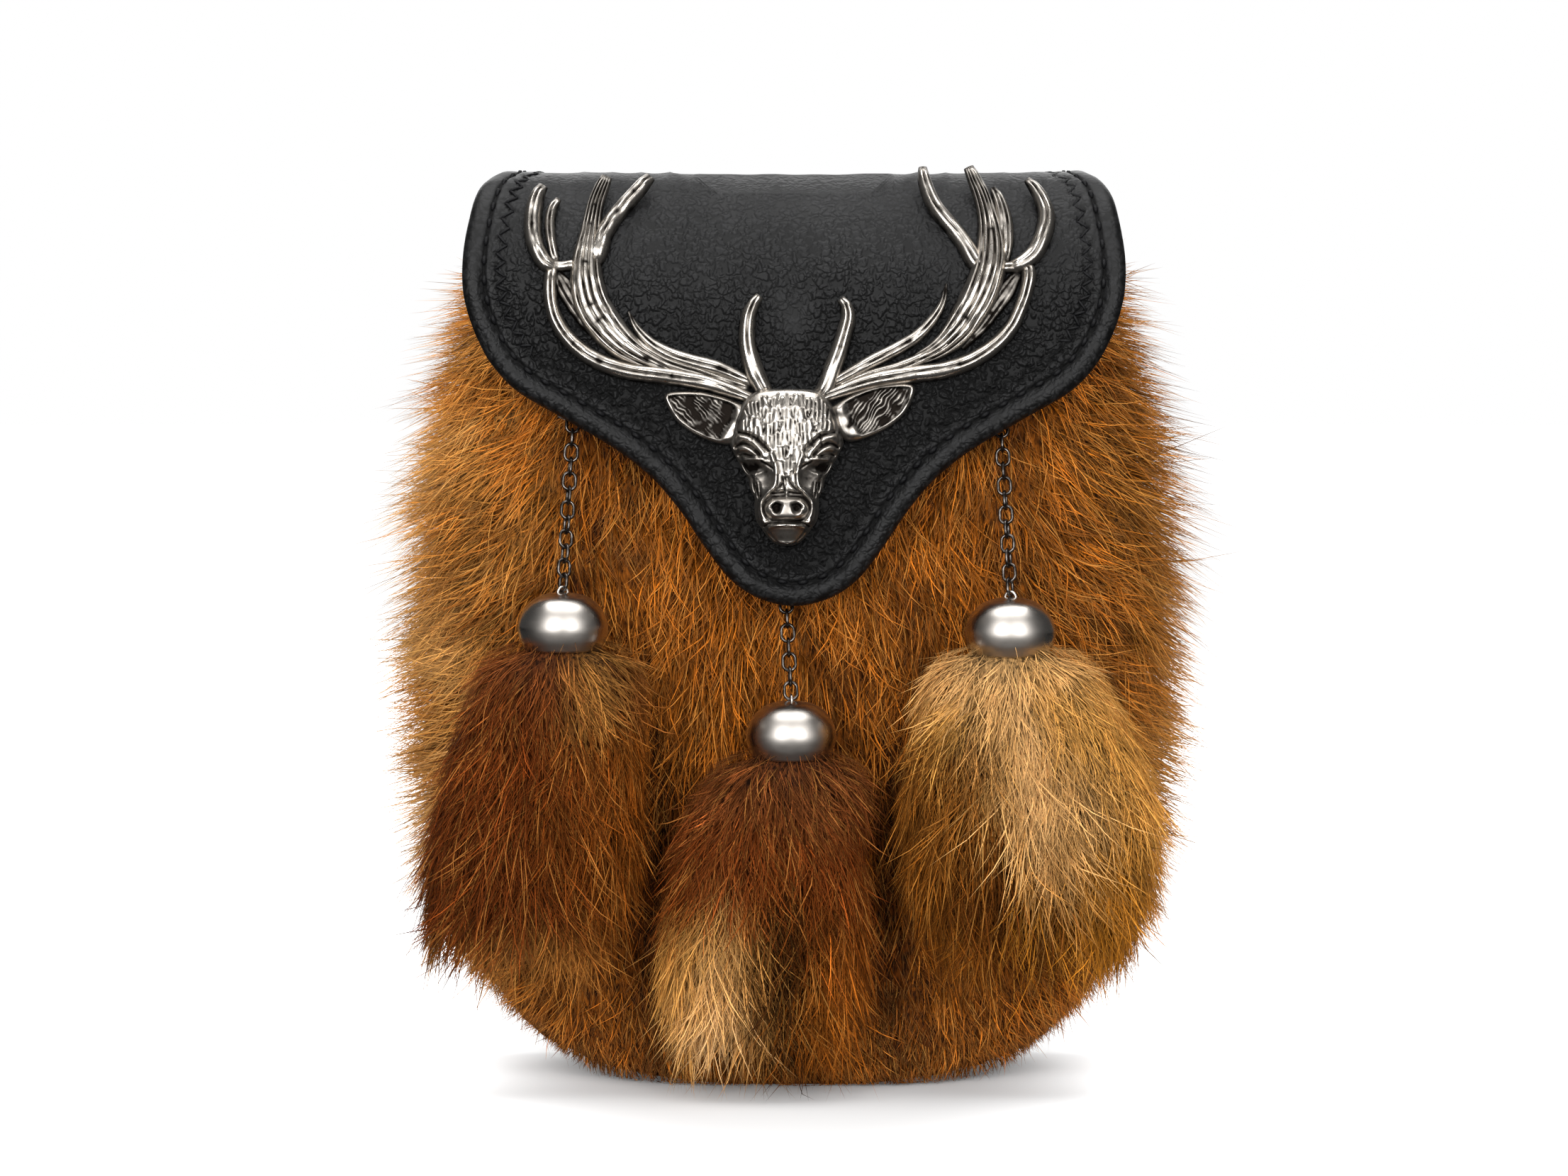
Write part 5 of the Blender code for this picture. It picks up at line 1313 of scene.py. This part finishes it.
# Cast hair in columns down the forehead
BROW_SPACING, BROW_HALF_WIDTH = 0.86, 8.6
BROW_TOP, BROW_FOOT = 146.6, 128.5
EARS = (  # the outline of each ear's rim
    ((-9.2, 143.6), (-14, 145.7), (-20, 147.0), (-26.8, 146.4), (-25.3, 141.9), (-22.2, 139.0),
     (-17.5, 136.7), (-13.2, 136.0), (-10.3, 138.4)),
    ((7.6, 143.8), (12.6, 146.6), (18.3, 148.4), (24.9, 148.2), (23.7, 143.3), (20.4, 140.0), (15.7, 137.6),
     (11.4, 136.6), (8.8, 138.8)),
)
EAR_ROWS, EAR_COLUMNS = 34, 130
EAR_TIP = 3  # the tip's place in the outline
EAR_RISE = 1.9
EAR_LINES = 0.85  # spacing of the combed lines in an ear


def on_badge(x, height, lift):
    """Places on the casting, that far off the leather at its back."""
    x, height, lift = np.broadcast_arrays(*[np.asarray(value, float) for value in (x, height, lift)])
    place = on_flap(x, along_at_height(np.minimum(height, BADGE_BEND)), lift)
    above = np.maximum(height - BADGE_BEND, 0)
    return place + np.stack([np.zeros_like(above), BADGE_LEAN * above, above], axis=-1)


def antler_strand(strand, seed):
    """Points, faces and recesses of one strand: a bar of ridges with grooves between, and rounded ends."""
    rows = 3 + int(lengths_along(np.array(strand.knots)[:, :2])[-1] / 0.9)
    points = resample(curve_through(strand.knots, 10), rows)
    flat, half = points[:, :2], points[:, 2:]
    across = turned_left(flat)
    v = np.linspace(-1, 1, strand.ridges * 8 + 1)[None, :]
    cut = np.zeros((rows, v.size))
    for k in range(1, strand.ridges):
        line = -1 + 2 * k / strand.ridges + 0.16 / strand.ridges * wander(flat, 9, seed + k)
        broken = np.clip(0.85 + 0.55 * wander(flat, 4.5, seed + 9 + k), 0.15, 1)
        cut = np.maximum(cut, broken[:, None] * hump((v - line[:, None]) * half, 0, GROOVE))
    ends = rising(0, 1, np.minimum(np.arange(rows), np.arange(rows)[::-1]) / 2.5)[:, None]
    arch = (1 - np.abs(v) ** 2.6) ** 0.55
    thickness = (BAR_THICKNESS[0] + BAR_THICKNESS[1] * half) * strand.rise
    lumps = 1 + 0.07 * wander(flat, 3.0, seed + 20)[:, None]
    lift = BADGE_LIFT + thickness * lumps * arch * (1 - 0.4 * cut * ends) * (0.35 + 0.65 * ends)
    x, height = [flat[:, k : k + 1] + across[:, k : k + 1] * half * v for k in (0, 1)]
    rims = 0.8 * rising(1 - 0.7 / half, 1, np.abs(v))
    nicks = 0.9 * hump(v, 0, 0.4) * (wander(flat, 1.3, seed + 5) > 1.3)[:, None]
    # patina in the grooves, nicks and rims, and painted shade on strands that lie low behind the others
    recess = np.clip(np.maximum(cut * ends * 1.1, nicks) + rims + 0.55 * (strand.rise < LOW_RISE), 0, 1)
    left = np.arange(rows) * v.size
    faces = [grid_faces(rows, v.size), strip(left, left + v.size - 1)]
    return on_badge(x, height, lift).reshape(-1, 3), faces, recess.ravel()


def brow_hair():
    """Ends and half widths of the short cast marks down the forehead, column by column."""
    rng = np.random.default_rng(77)
    for column in np.arange(-BROW_HALF_WIDTH, BROW_HALF_WIDTH + 0.1, BROW_SPACING):
        start = BROW_TOP - abs(column) ** 2 * 0.03 - rng.uniform(0, 1.5)
        while start > BROW_FOOT:
            reach = np.interp(start, [128, 133, 136, 138.5, 141], [1.9, 3.0, 4.2, 7.6, 9.0])
            length = rng.uniform(1.5, 2.7)
            if abs(column) < reach:
                end = column + rng.normal() * 0.34 - column * 0.02
                ends = ((HEAD_MIDDLE + column, start), (HEAD_MIDDLE + end, start - length))
                yield ends, rng.uniform(0.14, 0.24)
            start -= length + rng.uniform(0.35, 0.7)


def head_shape():
    """Points, faces and recesses of the head, a relief on level sections."""
    heights, half, rise = curve_through(HEAD_SHAPE, 10).T[:, ::-1]
    z = np.linspace(heights[-1], heights[0], HEAD_ROWS)[:, None]
    half, rise = np.interp(z, heights, half), np.interp(z, heights, rise)
    widest = math.pi / 2 * 0.97
    s = (np.sin(np.linspace(-1, 1, HEAD_COLUMNS) * widest) / math.sin(widest))[None, :]
    x, z = np.broadcast_arrays(HEAD_MIDDLE + half * s, z)
    inner = half * (1 - np.abs(s))
    places = np.stack([x.ravel(), z.ravel()], axis=1)
    mirrored = np.stack([np.abs(x - HEAD_MIDDLE).ravel(), z.ravel()], axis=1)
    dark, more = np.zeros((2, len(places)))
    for mark in FACE_LINES:
        near = hump(line_distance(mirrored, resample(curve_through(mark.line, 6), 24)), 0, mark.width)
        more += near * mark.rise
        dark = np.maximum(dark, near * mark.dark)
    for lump in FACE_LUMPS:
        reach = np.linalg.norm((mirrored - lump.place) / lump.radii, axis=1)
        near = np.clip(1 - reach**lump.flat, 0, 1)
        more += near * lump.rise
        dark = np.maximum(dark, np.sqrt(near) * lump.dark)
    for ends, width in brow_hair():
        near = hump(line_distance(places, ends), 0, width)
        more -= near * 0.4
        dark = np.maximum(dark, near)
    fade = rising(0.0, 1.0, inner)
    sunk = falling(0.9, 1.5, inner)
    lift = HEAD_EDGE + rise * (1 - s**2).clip(0) ** 0.4 + more.reshape(x.shape) * fade - 0.5 * sunk * fade
    dark = np.maximum(dark.reshape(x.shape) * fade, 0.62 * sunk * rising(134.5, 137, z))
    dark = np.maximum(dark, 0.35 * falling(0.3, 1.2, inner))
    points = on_badge(x, z, np.maximum(lift, HEAD_EDGE * 0.7)).reshape(-1, 3)
    index = np.arange(x.size).reshape(x.shape)
    edge = np.concatenate([index[0], index[1:, -1], index[-1, -2::-1], index[-2:0:-1, 0]])
    return seat(points, grid_faces(*x.shape), dark.ravel(), edge, places)


def seat(points, faces, dark, edge, flat):
    """Closes a relief behind: a wall from its edge down to the leather, and a fan across its back."""
    wall = on_badge(*flat[edge].T, BADGE_LIFT)
    hub = on_badge(*flat[edge].mean(axis=0), BADGE_LIFT)
    below = len(points) + np.arange(len(edge))
    sides = strip(np.append(edge, edge[0]), np.append(below, below[0]))
    points = np.concatenate([points, wall, hub.reshape(1, 3)])
    return points, [faces, sides, fan(below, len(points) - 1)], np.append(dark, np.full(len(edge) + 1, 0.8))


def ear_shape(outline, seed):
    """Points, faces and recesses of an ear: a raised rim round a hollow with combed lines in it."""
    rim = resample(curve_through([*outline, outline[0]], 12), EAR_COLUMNS + 1)[:-1]
    root, tip = np.array([outline[0], outline[-1]]).mean(axis=0), np.array(outline[EAR_TIP], float)
    hub = root * 0.42 + tip * 0.58
    shrink = np.linspace(0, 1, EAR_ROWS)[:, None, None] * 0.97
    flat = (rim[None, :, :] + (hub - rim)[None, :, :] * shrink).reshape(-1, 2)
    inner = line_distance(flat, np.vstack([rim, rim[:1]]))
    run = unit(tip - root)
    along, across = (flat - root) @ run, (flat - root) @ np.array([-run[1], run[0]])
    inside = rising(0.65, 1.2, inner) * rising(2.0, 3.6, along - 0.25 * np.abs(across))
    slanted = (across - np.sign(outline[0][0]) * 0.6 * along) / EAR_LINES
    phase = slanted + 0.4 * wander(flat, 3.2, seed) + 0.18 * wander(flat, 1.2, seed + 4)
    uneven = np.clip(0.7 + 0.6 * wander(flat, 2.4, seed + 2), 0.05, 1)
    comb = (0.5 + 0.5 * np.cos(phase * 2 * math.pi)) * uneven
    lift = 0.7 + (EAR_RISE - 0.7) * np.sqrt(np.clip(inner / 1.1, 0, 1)) - inside * (0.95 - 0.30 * comb)
    lift += BADGE_LIFT + 0.5 * falling(0, 5.5, along) * rising(0.2, 1.5, inner)
    dark = inside * (1.0 - 0.66 * comb**1.5) + (1 - inside) * (0.5 + 0.3 * wander(flat, 1.2, seed + 1))
    dark = np.clip(np.where(inner < 0.7, dark * 0.2, dark), 0, 1)
    points = np.vstack([on_badge(*flat.T, lift), on_badge(*hub, BADGE_LIFT + EAR_RISE - 0.7)])
    points, faces, dark = seat(points, grid_faces(EAR_ROWS, EAR_COLUMNS, closed=True), np.append(dark, 0.6),
                               np.arange(EAR_COLUMNS), flat)
    return points, [*faces, fan(np.arange(len(flat) - EAR_COLUMNS, len(flat)), len(flat))], dark


def make_badge(material):
    """Head, ears and antlers, cast as one and darkened in the recesses, with painted shade on the low
    strands.
    """
    shapes = [head_shape(), ear_shape(EARS[0], 91), ear_shape(EARS[1], 95)]
    for strands, seed in ((LEFT_ANTLER, 40), (RIGHT_ANTLER, 60)):
        shapes += [antler_strand(strand, seed + i) for i, strand in enumerate(strands)]
    points, parts, recess = zip(*shapes)
    starts = np.cumsum([0, *[len(p) for p in points]])
    faces = [f + start for part, start in zip(parts, starts) for f in part]
    made = array_object("stag_relief", np.concatenate(points), faces, material)
    point_values(made, "recess", np.concatenate(recess))
    close_up(made)
    settle(made, "antique_silver", "stag_badge")


# ---- chains and caps

CAP_OUTSIDE = table(
    "radius below_top", (0.01, 0.0), (1.8, 0.0), (5.4, 1.0), (8.1, 3.4), (9.4, 6.6), (9.1, 9.4), (7.8, 12.0))
CAP_LIP = [(7.45, 12.12)]
CAP_INSIDE = table(
    "radius below_top", (7.0, 12.0), (8.0, 9.6), (8.2, 7.0), (7.5, 4.2), (5.0, 1.9), (0.01, 0.9))
RING_STEPS, RING_SIDES = 20, 10


def wire_ring(half_width, straight, wire):
    """An oval ring of round wire, standing in the XZ plane: a spun circle, drawn out lengthways."""
    bm = bmesh.new()
    made = bmesh.ops.create_circle(bm, segments=RING_SIDES, radius=wire / 2)
    half_step = Matrix.Rotation(math.pi / RING_STEPS, 3, "Y")
    bmesh.ops.translate(bm, vec=(half_width, 0, 0), verts=made["verts"])
    bmesh.ops.rotate(bm, cent=(0, 0, 0), matrix=half_step, verts=made["verts"])
    bmesh.ops.spin(bm, geom=[*bm.verts, *bm.edges], cent=(0, 0, 0), axis=(0, 1, 0), angle=2 * math.pi,
                   steps=RING_STEPS, use_merge=True)
    for way in (-1, 1):
        end = [v for v in bm.verts if v.co.z * way > 0]
        bmesh.ops.translate(bm, vec=(0, 0, way * straight / 2), verts=end)
    bmesh.ops.recalc_face_normals(bm, faces=bm.faces)
    return bm


def make_chain(drop, material):
    """The links of one chain from its cap's eye to the staple, each turned a quarter against the last."""
    foot = Vector((drop.cap_x, CAP_Y, drop.cap_top + BEARING))
    length = 2 * LINK_REACH + (drop.links - 1) * LINK_PITCH
    run = Vector((drop.x - drop.cap_x, drop.y - CAP_Y, length)).normalized()
    lean = Vector((0, 0, 1)).rotation_difference(run).to_matrix()
    bm = wire_ring((LINK_WIDTH - LINK_WIRE) / 2, LINK_LENGTH - LINK_WIDTH, LINK_WIRE * 1.12)
    bm.verts.index_update()
    ring = np.array([v.co for v in bm.verts])
    faces = [[v.index for v in f.verts] for f in bm.faces]
    bm.free()
    points = []
    for i in range(drop.links):
        from_top = drop.links - 1 - i
        twist = drop.twist * from_top / (drop.links - 1) + math.pi / 2 * (from_top % 2)
        turn = np.array(lean @ Matrix.Rotation(twist, 3, "Z"))
        points.append(ring @ turn.T + np.array(foot + run * (LINK_REACH + i * LINK_PITCH)))
    quads = copies_of(faces, drop.links, len(ring))
    made = array_object(f"links_{drop.name}", np.concatenate(points), [quads], material)
    close_up(made)
    settle(made, "gunmetal", f"chain_{drop.name}")


def make_cap(drop, material):
    """A domed, hollow cap turned from a smooth profile, with the wire eye on its top."""
    top = (drop.cap_x, CAP_Y, drop.cap_top)
    bm = bmesh.new()
    profile = [*curve_through(CAP_OUTSIDE, 6), *CAP_LIP, *curve_through(CAP_INSIDE, 4)]
    line = [bm.verts.new((radius, 0, -below_top)) for radius, below_top in profile]
    edges = [bm.edges.new(pair) for pair in zip(line, line[1:])]
    bmesh.ops.spin(bm, geom=[*line, *edges], cent=(0, 0, 0), axis=(0, 0, 1), angle=2 * math.pi, steps=56,
                   use_merge=True)
    bmesh.ops.remove_doubles(bm, verts=bm.verts, dist=0.05)
    bmesh.ops.translate(bm, vec=top, verts=bm.verts)
    settle(bmesh_object(f"dome_{drop.name}", bm, material), "polished_silver", f"cap_{drop.name}")
    eye = wire_ring(EYE_RADIUS, 0.0, LINK_WIRE)
    turn = drop.twist + math.pi / 2 * ((drop.links - 1) % 2) + math.pi / 2
    bmesh.ops.rotate(eye, cent=(0, 0, 0), matrix=Matrix.Rotation(turn, 3, "Z"), verts=eye.verts)
    bmesh.ops.translate(eye, vec=top, verts=eye.verts)
    settle(bmesh_object(f"dome_eye_{drop.name}", eye, material), "polished_silver")


# ---- the leather back and its belt loops

BACK_FACE = 23.0
LEATHER_THICKNESS = 2.5
PANEL_MARGIN, PANEL_TOP, PANEL_BOTTOM = 1.0, 173.0, 6.0
PANEL_SEAM = 4.0
LOOP_X, LOOP_WIDTH = 34.0, 16.0
LOOP_BOTTOM, LOOP_TOP, LOOP_FOOT = 90.0, 146.0, 8.0
LOOP_BACK, LOOP_SLOT = 23.3, 5.0
LOOP_SEAM = 1.7
BACK_THREAD, BACK_SINK = 0.42, 0.1
# The stitching round the flap's fixed end
BAR_REACH, BAR_BOTTOM, BAR_TOP = 55.0, 152.5, 184.0


def panel_outline():
    """The back's outline as (x, height), from its top left corner down, round the bottom and up."""
    side = [(s.half_width + PANEL_MARGIN, s.height) for s in POUCH_SECTIONS if s.height > PANEL_BOTTOM]
    side[0] = (side[0][0], PANEL_TOP)
    side.append((side[-1][0] - (side[-1][1] - PANEL_BOTTOM) * 0.5, PANEL_BOTTOM))
    side = resample(curve_through(side, 8), 48)
    return np.vstack([side * (-1, 1), side[::-1]])


def extruded(outline, way):
    """A bmesh of a flat outline, drawn out that way."""
    bm = bmesh.new()
    face = bm.faces.new([bm.verts.new(corner) for corner in outline])
    made = bmesh.ops.extrude_face_region(bm, geom=[face])["geom"]
    bmesh.ops.translate(bm, vec=way, verts=[v for v in made if isinstance(v, bmesh.types.BMVert)])
    bmesh.ops.recalc_face_normals(bm, faces=bm.faces)
    return bm


def round_off(bm, edges, offset, segments):
    """Rounds those edges."""
    bmesh.ops.bevel(bm, geom=edges, offset=offset, affect="EDGES", segments=segments, profile=0.5,
                    material=-1)


def make_back(material):
    """A panel of leather with a rounded edge and a pressed line for its stitching."""
    front = BACK_FACE - LEATHER_THICKNESS
    bm = extruded([(x, front, z) for x, z in panel_outline()], (0, LEATHER_THICKNESS, 0))
    round_off(bm, [e for e in bm.edges if all(abs(v.co.y - BACK_FACE) < 0.01 for v in e.verts)], 0.8, 3)
    outer = [max(bm.faces, key=lambda f: f.calc_center_median().y)]
    for width, depth in ((PANEL_SEAM - 1.3, 0.0), (0.45, -0.4), (0.45, 0.4)):
        bmesh.ops.inset_individual(bm, faces=outer, thickness=width, depth=depth, use_even_offset=True)
    settle(bmesh_object("back_leather", bm, material, math.radians(25)), "black_leather", "back_panel")


def make_belt_loop(name, middle, material):
    """A strip of leather with both ends sewn down, and rounded bends where it stands off for the strap."""
    back, low, high = LOOP_BACK, LOOP_BOTTOM + LOOP_FOOT, LOOP_TOP - LOOP_FOOT
    foot, inner = back + LEATHER_THICKNESS, back + LOOP_SLOT
    outer = inner + LEATHER_THICKNESS
    profile = ((back, LOOP_BOTTOM), (foot, LOOP_BOTTOM), (foot, low - 1), (outer, low + LOOP_SLOT - 1),
               (outer, high - LOOP_SLOT + 1), (foot, high + 1), (foot, LOOP_TOP), (back, LOOP_TOP),
               (back, high), (inner, high - LOOP_SLOT), (inner, low + LOOP_SLOT), (back, low))
    bm = extruded([(middle - LOOP_WIDTH / 2, y, z) for y, z in profile], (LOOP_WIDTH, 0, 0))
    round_off(bm, [e for e in bm.edges if abs(e.verts[0].co.x - e.verts[1].co.x) > 1
                   and LOOP_BOTTOM + 1 < e.verts[0].co.z < LOOP_TOP - 1], 1.5, 4)
    round_off(bm, [e for e in bm.edges if abs(e.verts[0].co.x - e.verts[1].co.x) < 0.01
                   and e.calc_face_angle(0) > 1], 0.3, 2)
    made = bmesh_object(f"belt_loop_leather_{name}", bm, material, math.radians(40))
    settle(made, "black_leather", f"belt_loop_{name}")


def stitch_ends(line, pitch):
    """The two ends of each stitch along a flat line."""
    line = np.asarray(line, float)
    length = lengths_along(line)[-1]
    count = max(int(length / pitch), 1)
    at = (np.arange(count) + 0.22) * length / count
    return points_at(line, at), points_at(line, at + pitch * 0.56)


def make_back_stitching(material, pitch):
    """Stitching round the back panel, in a box on each foot of the belt loops, and round the flap's end."""
    outline = resample(panel_outline(), 260)
    seam = outline + turned_left(outline) * PANEL_SEAM
    seam = seam[(seam[:, 1] < PANEL_TOP - PANEL_SEAM) & (seam[:, 1] > PANEL_BOTTOM + PANEL_SEAM * 0.9)]
    lines = [(seam, pitch, BACK_FACE - 0.3)]
    for middle in (-LOOP_X, LOOP_X):
        left, right = [middle + side * (LOOP_WIDTH / 2 - LOOP_SEAM) for side in (-1, 1)]
        for foot in (LOOP_BOTTOM, LOOP_TOP - LOOP_FOOT):
            low, high = foot + LOOP_SEAM, foot + LOOP_FOOT - LOOP_SEAM
            box = [((left, z), (right, z)) for z in (low, high)]
            box += [((x, low), (x, high)) for x in (left, right)]
            lines += [(line, pitch * 0.7, LOOP_BACK + LEATHER_THICKNESS) for line in box]
    starts, ends = [], []
    for line, each, level in lines:
        for found, flat in zip((starts, ends), stitch_ends(line, each)):
            found.append(np.insert(flat, 1, level, axis=1))
    ups = [np.tile([0.0, 1.0, 0.0], (len(flat), 1)) for flat in starts]
    low, high = [along_at_height(height, front=False) for height in (BAR_BOTTOM, BAR_TOP)]
    bar = [(-BAR_REACH, high), (-BAR_REACH, low), (BAR_REACH, low), (BAR_REACH, high)]
    first, last = stitch_ends(bar, pitch)
    starts.append(on_flap(*first.T, 0.1))
    ends.append(on_flap(*last.T, 0.1))
    ups.append(flap_normals(*first.T))
    capsules("back_stitches", np.vstack(starts), np.vstack(ends), np.vstack(ups), BACK_THREAD, BACK_SINK,
             material)


# ---- the studio

PIXEL = 0.15  # millimetres of the object for a pixel of the photograph
IMAGE = (2212, 1659)
IMAGE_AXIS = (1120, 1532)  # the pixel of the object's own origin
FOCUS_Y = -15.0
LIGHTS_AIM = (0, 0, 0.1)
LIGHTS = table(  # places and sizes in metres
    "name place size power",
    ("front_left", (-0.5, -1.15, 0.5), (0.55, 0.85), 1.0),
    ("front_right", (0.5, -1.15, 0.5), (0.55, 0.85), 0.85),
    ("top", (0, -0.05, 1.3), (1.3, 0.9), 1.2),
    ("back", (0, 1.05, 0.65), (1.3, 0.8), 0.8),
)
FLOOR_RADIUS = 6000


def make_camera(stage):
    """The camera, square on to the pouch and a little above it."""
    data = bpy.data.cameras.new("camera")
    data.lens = stage.lens
    data.clip_start, data.clip_end = 0.05, 20
    camera = bpy.data.objects.new("camera", data)
    bpy.context.scene.collection.objects.link(camera)
    across, up = IMAGE[0] / 2 - IMAGE_AXIS[0], IMAGE_AXIS[1] - IMAGE[1] / 2
    aim = Vector((across * PIXEL, FOCUS_Y, up * PIXEL)) * MM
    away = IMAGE[0] * PIXEL * MM * data.lens / data.sensor_width
    camera.location = aim + Vector((0, -math.cos(stage.elevation), math.sin(stage.elevation))) * away
    camera.rotation_euler = (math.pi / 2 - stage.elevation, 0, 0)
    bpy.context.scene.camera = camera


def make_lights(power):
    """Soft rectangular lights, turned towards the pouch."""
    for light in LIGHTS:
        data = bpy.data.lights.new(light.name, "AREA")
        data.shape = "RECTANGLE"
        data.size, data.size_y = light.size
        data.energy = power * light.power
        lamp = bpy.data.objects.new(light.name, data)
        bpy.context.scene.collection.objects.link(lamp)
        lamp.location = light.place
        lamp.rotation_euler = (Vector(LIGHTS_AIM) - Vector(light.place)).to_track_quat("-Z", "Y").to_euler()


def make_floor():
    """White paper under the object: its shadows are soft, and it glows to the camera like the background."""
    material, tree, shader = new_material("white paper", {"Roughness": 0.9, "Specular IOR Level": 0.0,
                                                          "Emission Color": (1, 1, 1, 1)})
    rays = add_node(tree, "LightPath").outputs
    place = add_node(tree, "TexCoord").outputs["Object"]
    # the shadow's own light fades in from 4 cm to 13 cm, sooner to the sides than to the front
    stretched = add_node(tree, "VectorMath", {0: place, 1: (1.3, 0.6, 1.0)}, operation="MULTIPLY")
    distance = add_node(tree, "VectorMath", {0: stretched}, operation="LENGTH").outputs["Value"]
    glow = add_node(tree, "MapRange", {"Value": distance, "From Min": 0.04, "From Max": 0.13, "To Min": 0.06,
                                       "To Max": 1.0}, interpolation_type="SMOOTHSTEP")
    seen = add_node(tree, "Math", {0: glow, 1: rays["Is Camera Ray"]}, operation="MULTIPLY")
    dimmed = add_node(tree, "MapRange", {"Value": rays["Is Glossy Ray"], "To Min": 0.8, "To Max": 0.03})
    level = add_node(tree, "Mix", {0: rays["Is Camera Ray"], 2: dimmed, 3: 0.66})
    paper = add_node(tree, "CombineColor", {name: level for name in ("Red", "Green", "Blue")})
    set_inputs(shader, {"Base Color": paper, "Emission Strength": seen})
    bm = bmesh.new()
    bmesh.ops.create_circle(bm, cap_ends=True, segments=96, radius=FLOOR_RADIUS)
    bmesh_object("floor", bm, material)


def make_world():
    """White behind the object, and a dimmer white light all round it."""
    world = bpy.data.worlds.new("studio")
    bpy.context.scene.world = world
    world.use_nodes = True
    tree = world.node_tree
    tree.nodes.clear()
    rays = add_node(tree, "LightPath").outputs
    level = add_node(tree, "MapRange", {"Value": rays["Is Glossy Ray"], "To Min": 0.17, "To Max": 0.07})
    dim = add_node(tree, "Background", {"Color": (1, 1, 1, 1), "Strength": level})
    white = add_node(tree, "Background", {"Color": (1, 1, 1, 1), "Strength": 1.0})
    mixed = add_node(tree, "MixShader", {0: rays["Is Camera Ray"], 1: dim, 2: white})
    add_node(tree, "OutputWorld", {"Surface": mixed})


# ---- operators


class SPORRAN_OT_fur(bpy.types.Operator):
    """Make the hide and the hair of the pouch"""

    bl_idname = "sporran.fur"
    bl_label = "Pouch fur"

    def execute(self, context):
        make_hide(hide_material())
        make_pouch_fur(fur_material("pouch hair"), context.scene.sporran_fur)
        return {"FINISHED"}


class SPORRAN_OT_tassels(bpy.types.Operator):
    """Make the three tassels"""

    bl_idname = "sporran.tassels"
    bl_label = "Tassels"

    def execute(self, context):
        hair, wool = fur_material("tassel hair"), hide_material()
        for i, drop in enumerate(DROPS):
            make_tassel(drop, hair, wool, context.scene.sporran_fur, 61 + 10 * i)
        return {"FINISHED"}


class SPORRAN_OT_flap(bpy.types.Operator):
    """Make the flap with its rolled edge and stitching"""

    bl_idname = "sporran.flap"
    bl_label = "Flap"

    def execute(self, context):
        leather = context.scene.sporran_leather
        make_flap(leather_material("black pebbled cowhide", leather.colour, worked=True))
        make_flap_stitching(thread_material(leather.thread), leather.stitch / MM)
        return {"FINISHED"}


class SPORRAN_OT_badge(bpy.types.Operator):
    """Make the cast stag's head"""

    bl_idname = "sporran.badge"
    bl_label = "Badge"

    def execute(self, context):
        metal = context.scene.sporran_metal
        make_badge(cast_silver(metal.silver, metal.patina))
        return {"FINISHED"}


class SPORRAN_OT_drops(bpy.types.Operator):
    """Make the chains and the caps"""

    bl_idname = "sporran.drops"
    bl_label = "Chains and caps"

    def execute(self, context):
        dark, bright = gunmetal(context.scene.sporran_metal.gunmetal), polished_silver()
        for drop in DROPS:
            make_chain(drop, dark)
            make_cap(drop, bright)
            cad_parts[f"staple_{drop.name}"].data.materials[0] = dark
        return {"FINISHED"}


class SPORRAN_OT_back(bpy.types.Operator):
    """Make the leather back, its belt loops and their stitching"""

    bl_idname = "sporran.back"
    bl_label = "Back"

    def execute(self, context):
        leather = context.scene.sporran_leather
        smooth = leather_material("black smooth cowhide", leather.colour, grain=0.9 * MM, depth=0.22 * MM)
        make_back(smooth)
        for name, middle in (("left", -LOOP_X), ("right", LOOP_X)):
            make_belt_loop(name, middle, smooth)
        make_back_stitching(thread_material(leather.thread), leather.stitch / MM)
        return {"FINISHED"}


class SPORRAN_OT_stage(bpy.types.Operator):
    """Set up the floor, the lights and the camera"""

    bl_idname = "sporran.stage"
    bl_label = "Studio"

    def execute(self, context):
        stage = context.scene.sporran_stage
        make_floor()
        make_world()
        make_lights(stage.key)
        make_camera(stage)
        context.scene.view_settings.view_transform = "Standard"
        return {"FINISHED"}


GROUPS = {
    "sporran_fur": SporranFur,
    "sporran_leather": SporranLeather,
    "sporran_metal": SporranMetal,
    "sporran_stage": SporranStage,
}
OPERATORS = (
    SPORRAN_OT_fur, SPORRAN_OT_tassels, SPORRAN_OT_flap, SPORRAN_OT_badge, SPORRAN_OT_drops, SPORRAN_OT_back,
    SPORRAN_OT_stage,
)


class SPORRAN_PT_panel(bpy.types.Panel):
    """The sporran's pieces and their settings"""

    bl_label = "Sporran pouch"
    bl_idname = "SPORRAN_PT_panel"
    bl_space_type = "VIEW_3D"
    bl_region_type = "UI"
    bl_category = "Sporran"

    def draw(self, context):
        for name in GROUPS:
            box, settings = self.layout.box(), getattr(context.scene, name)
            for setting in settings.__annotations__:
                box.prop(settings, setting)
        for operator in OPERATORS:
            self.layout.operator(operator.bl_idname)


def register():
    for item in (*GROUPS.values(), *OPERATORS, SPORRAN_PT_panel):
        bpy.utils.register_class(item)
    for name, group in GROUPS.items():
        setattr(bpy.types.Scene, name, bpy.props.PointerProperty(type=group))


def unregister():
    for name in GROUPS:
        delattr(bpy.types.Scene, name)
    for item in (SPORRAN_PT_panel, *reversed(OPERATORS), *GROUPS.values()):
        bpy.utils.unregister_class(item)


def main():
    """Makes every piece in order."""
    register()
    for piece in ("fur", "tassels", "flap", "badge", "drops", "back", "stage"):
        getattr(bpy.ops.sporran, piece)()


if __name__ == "__main__":
    main()
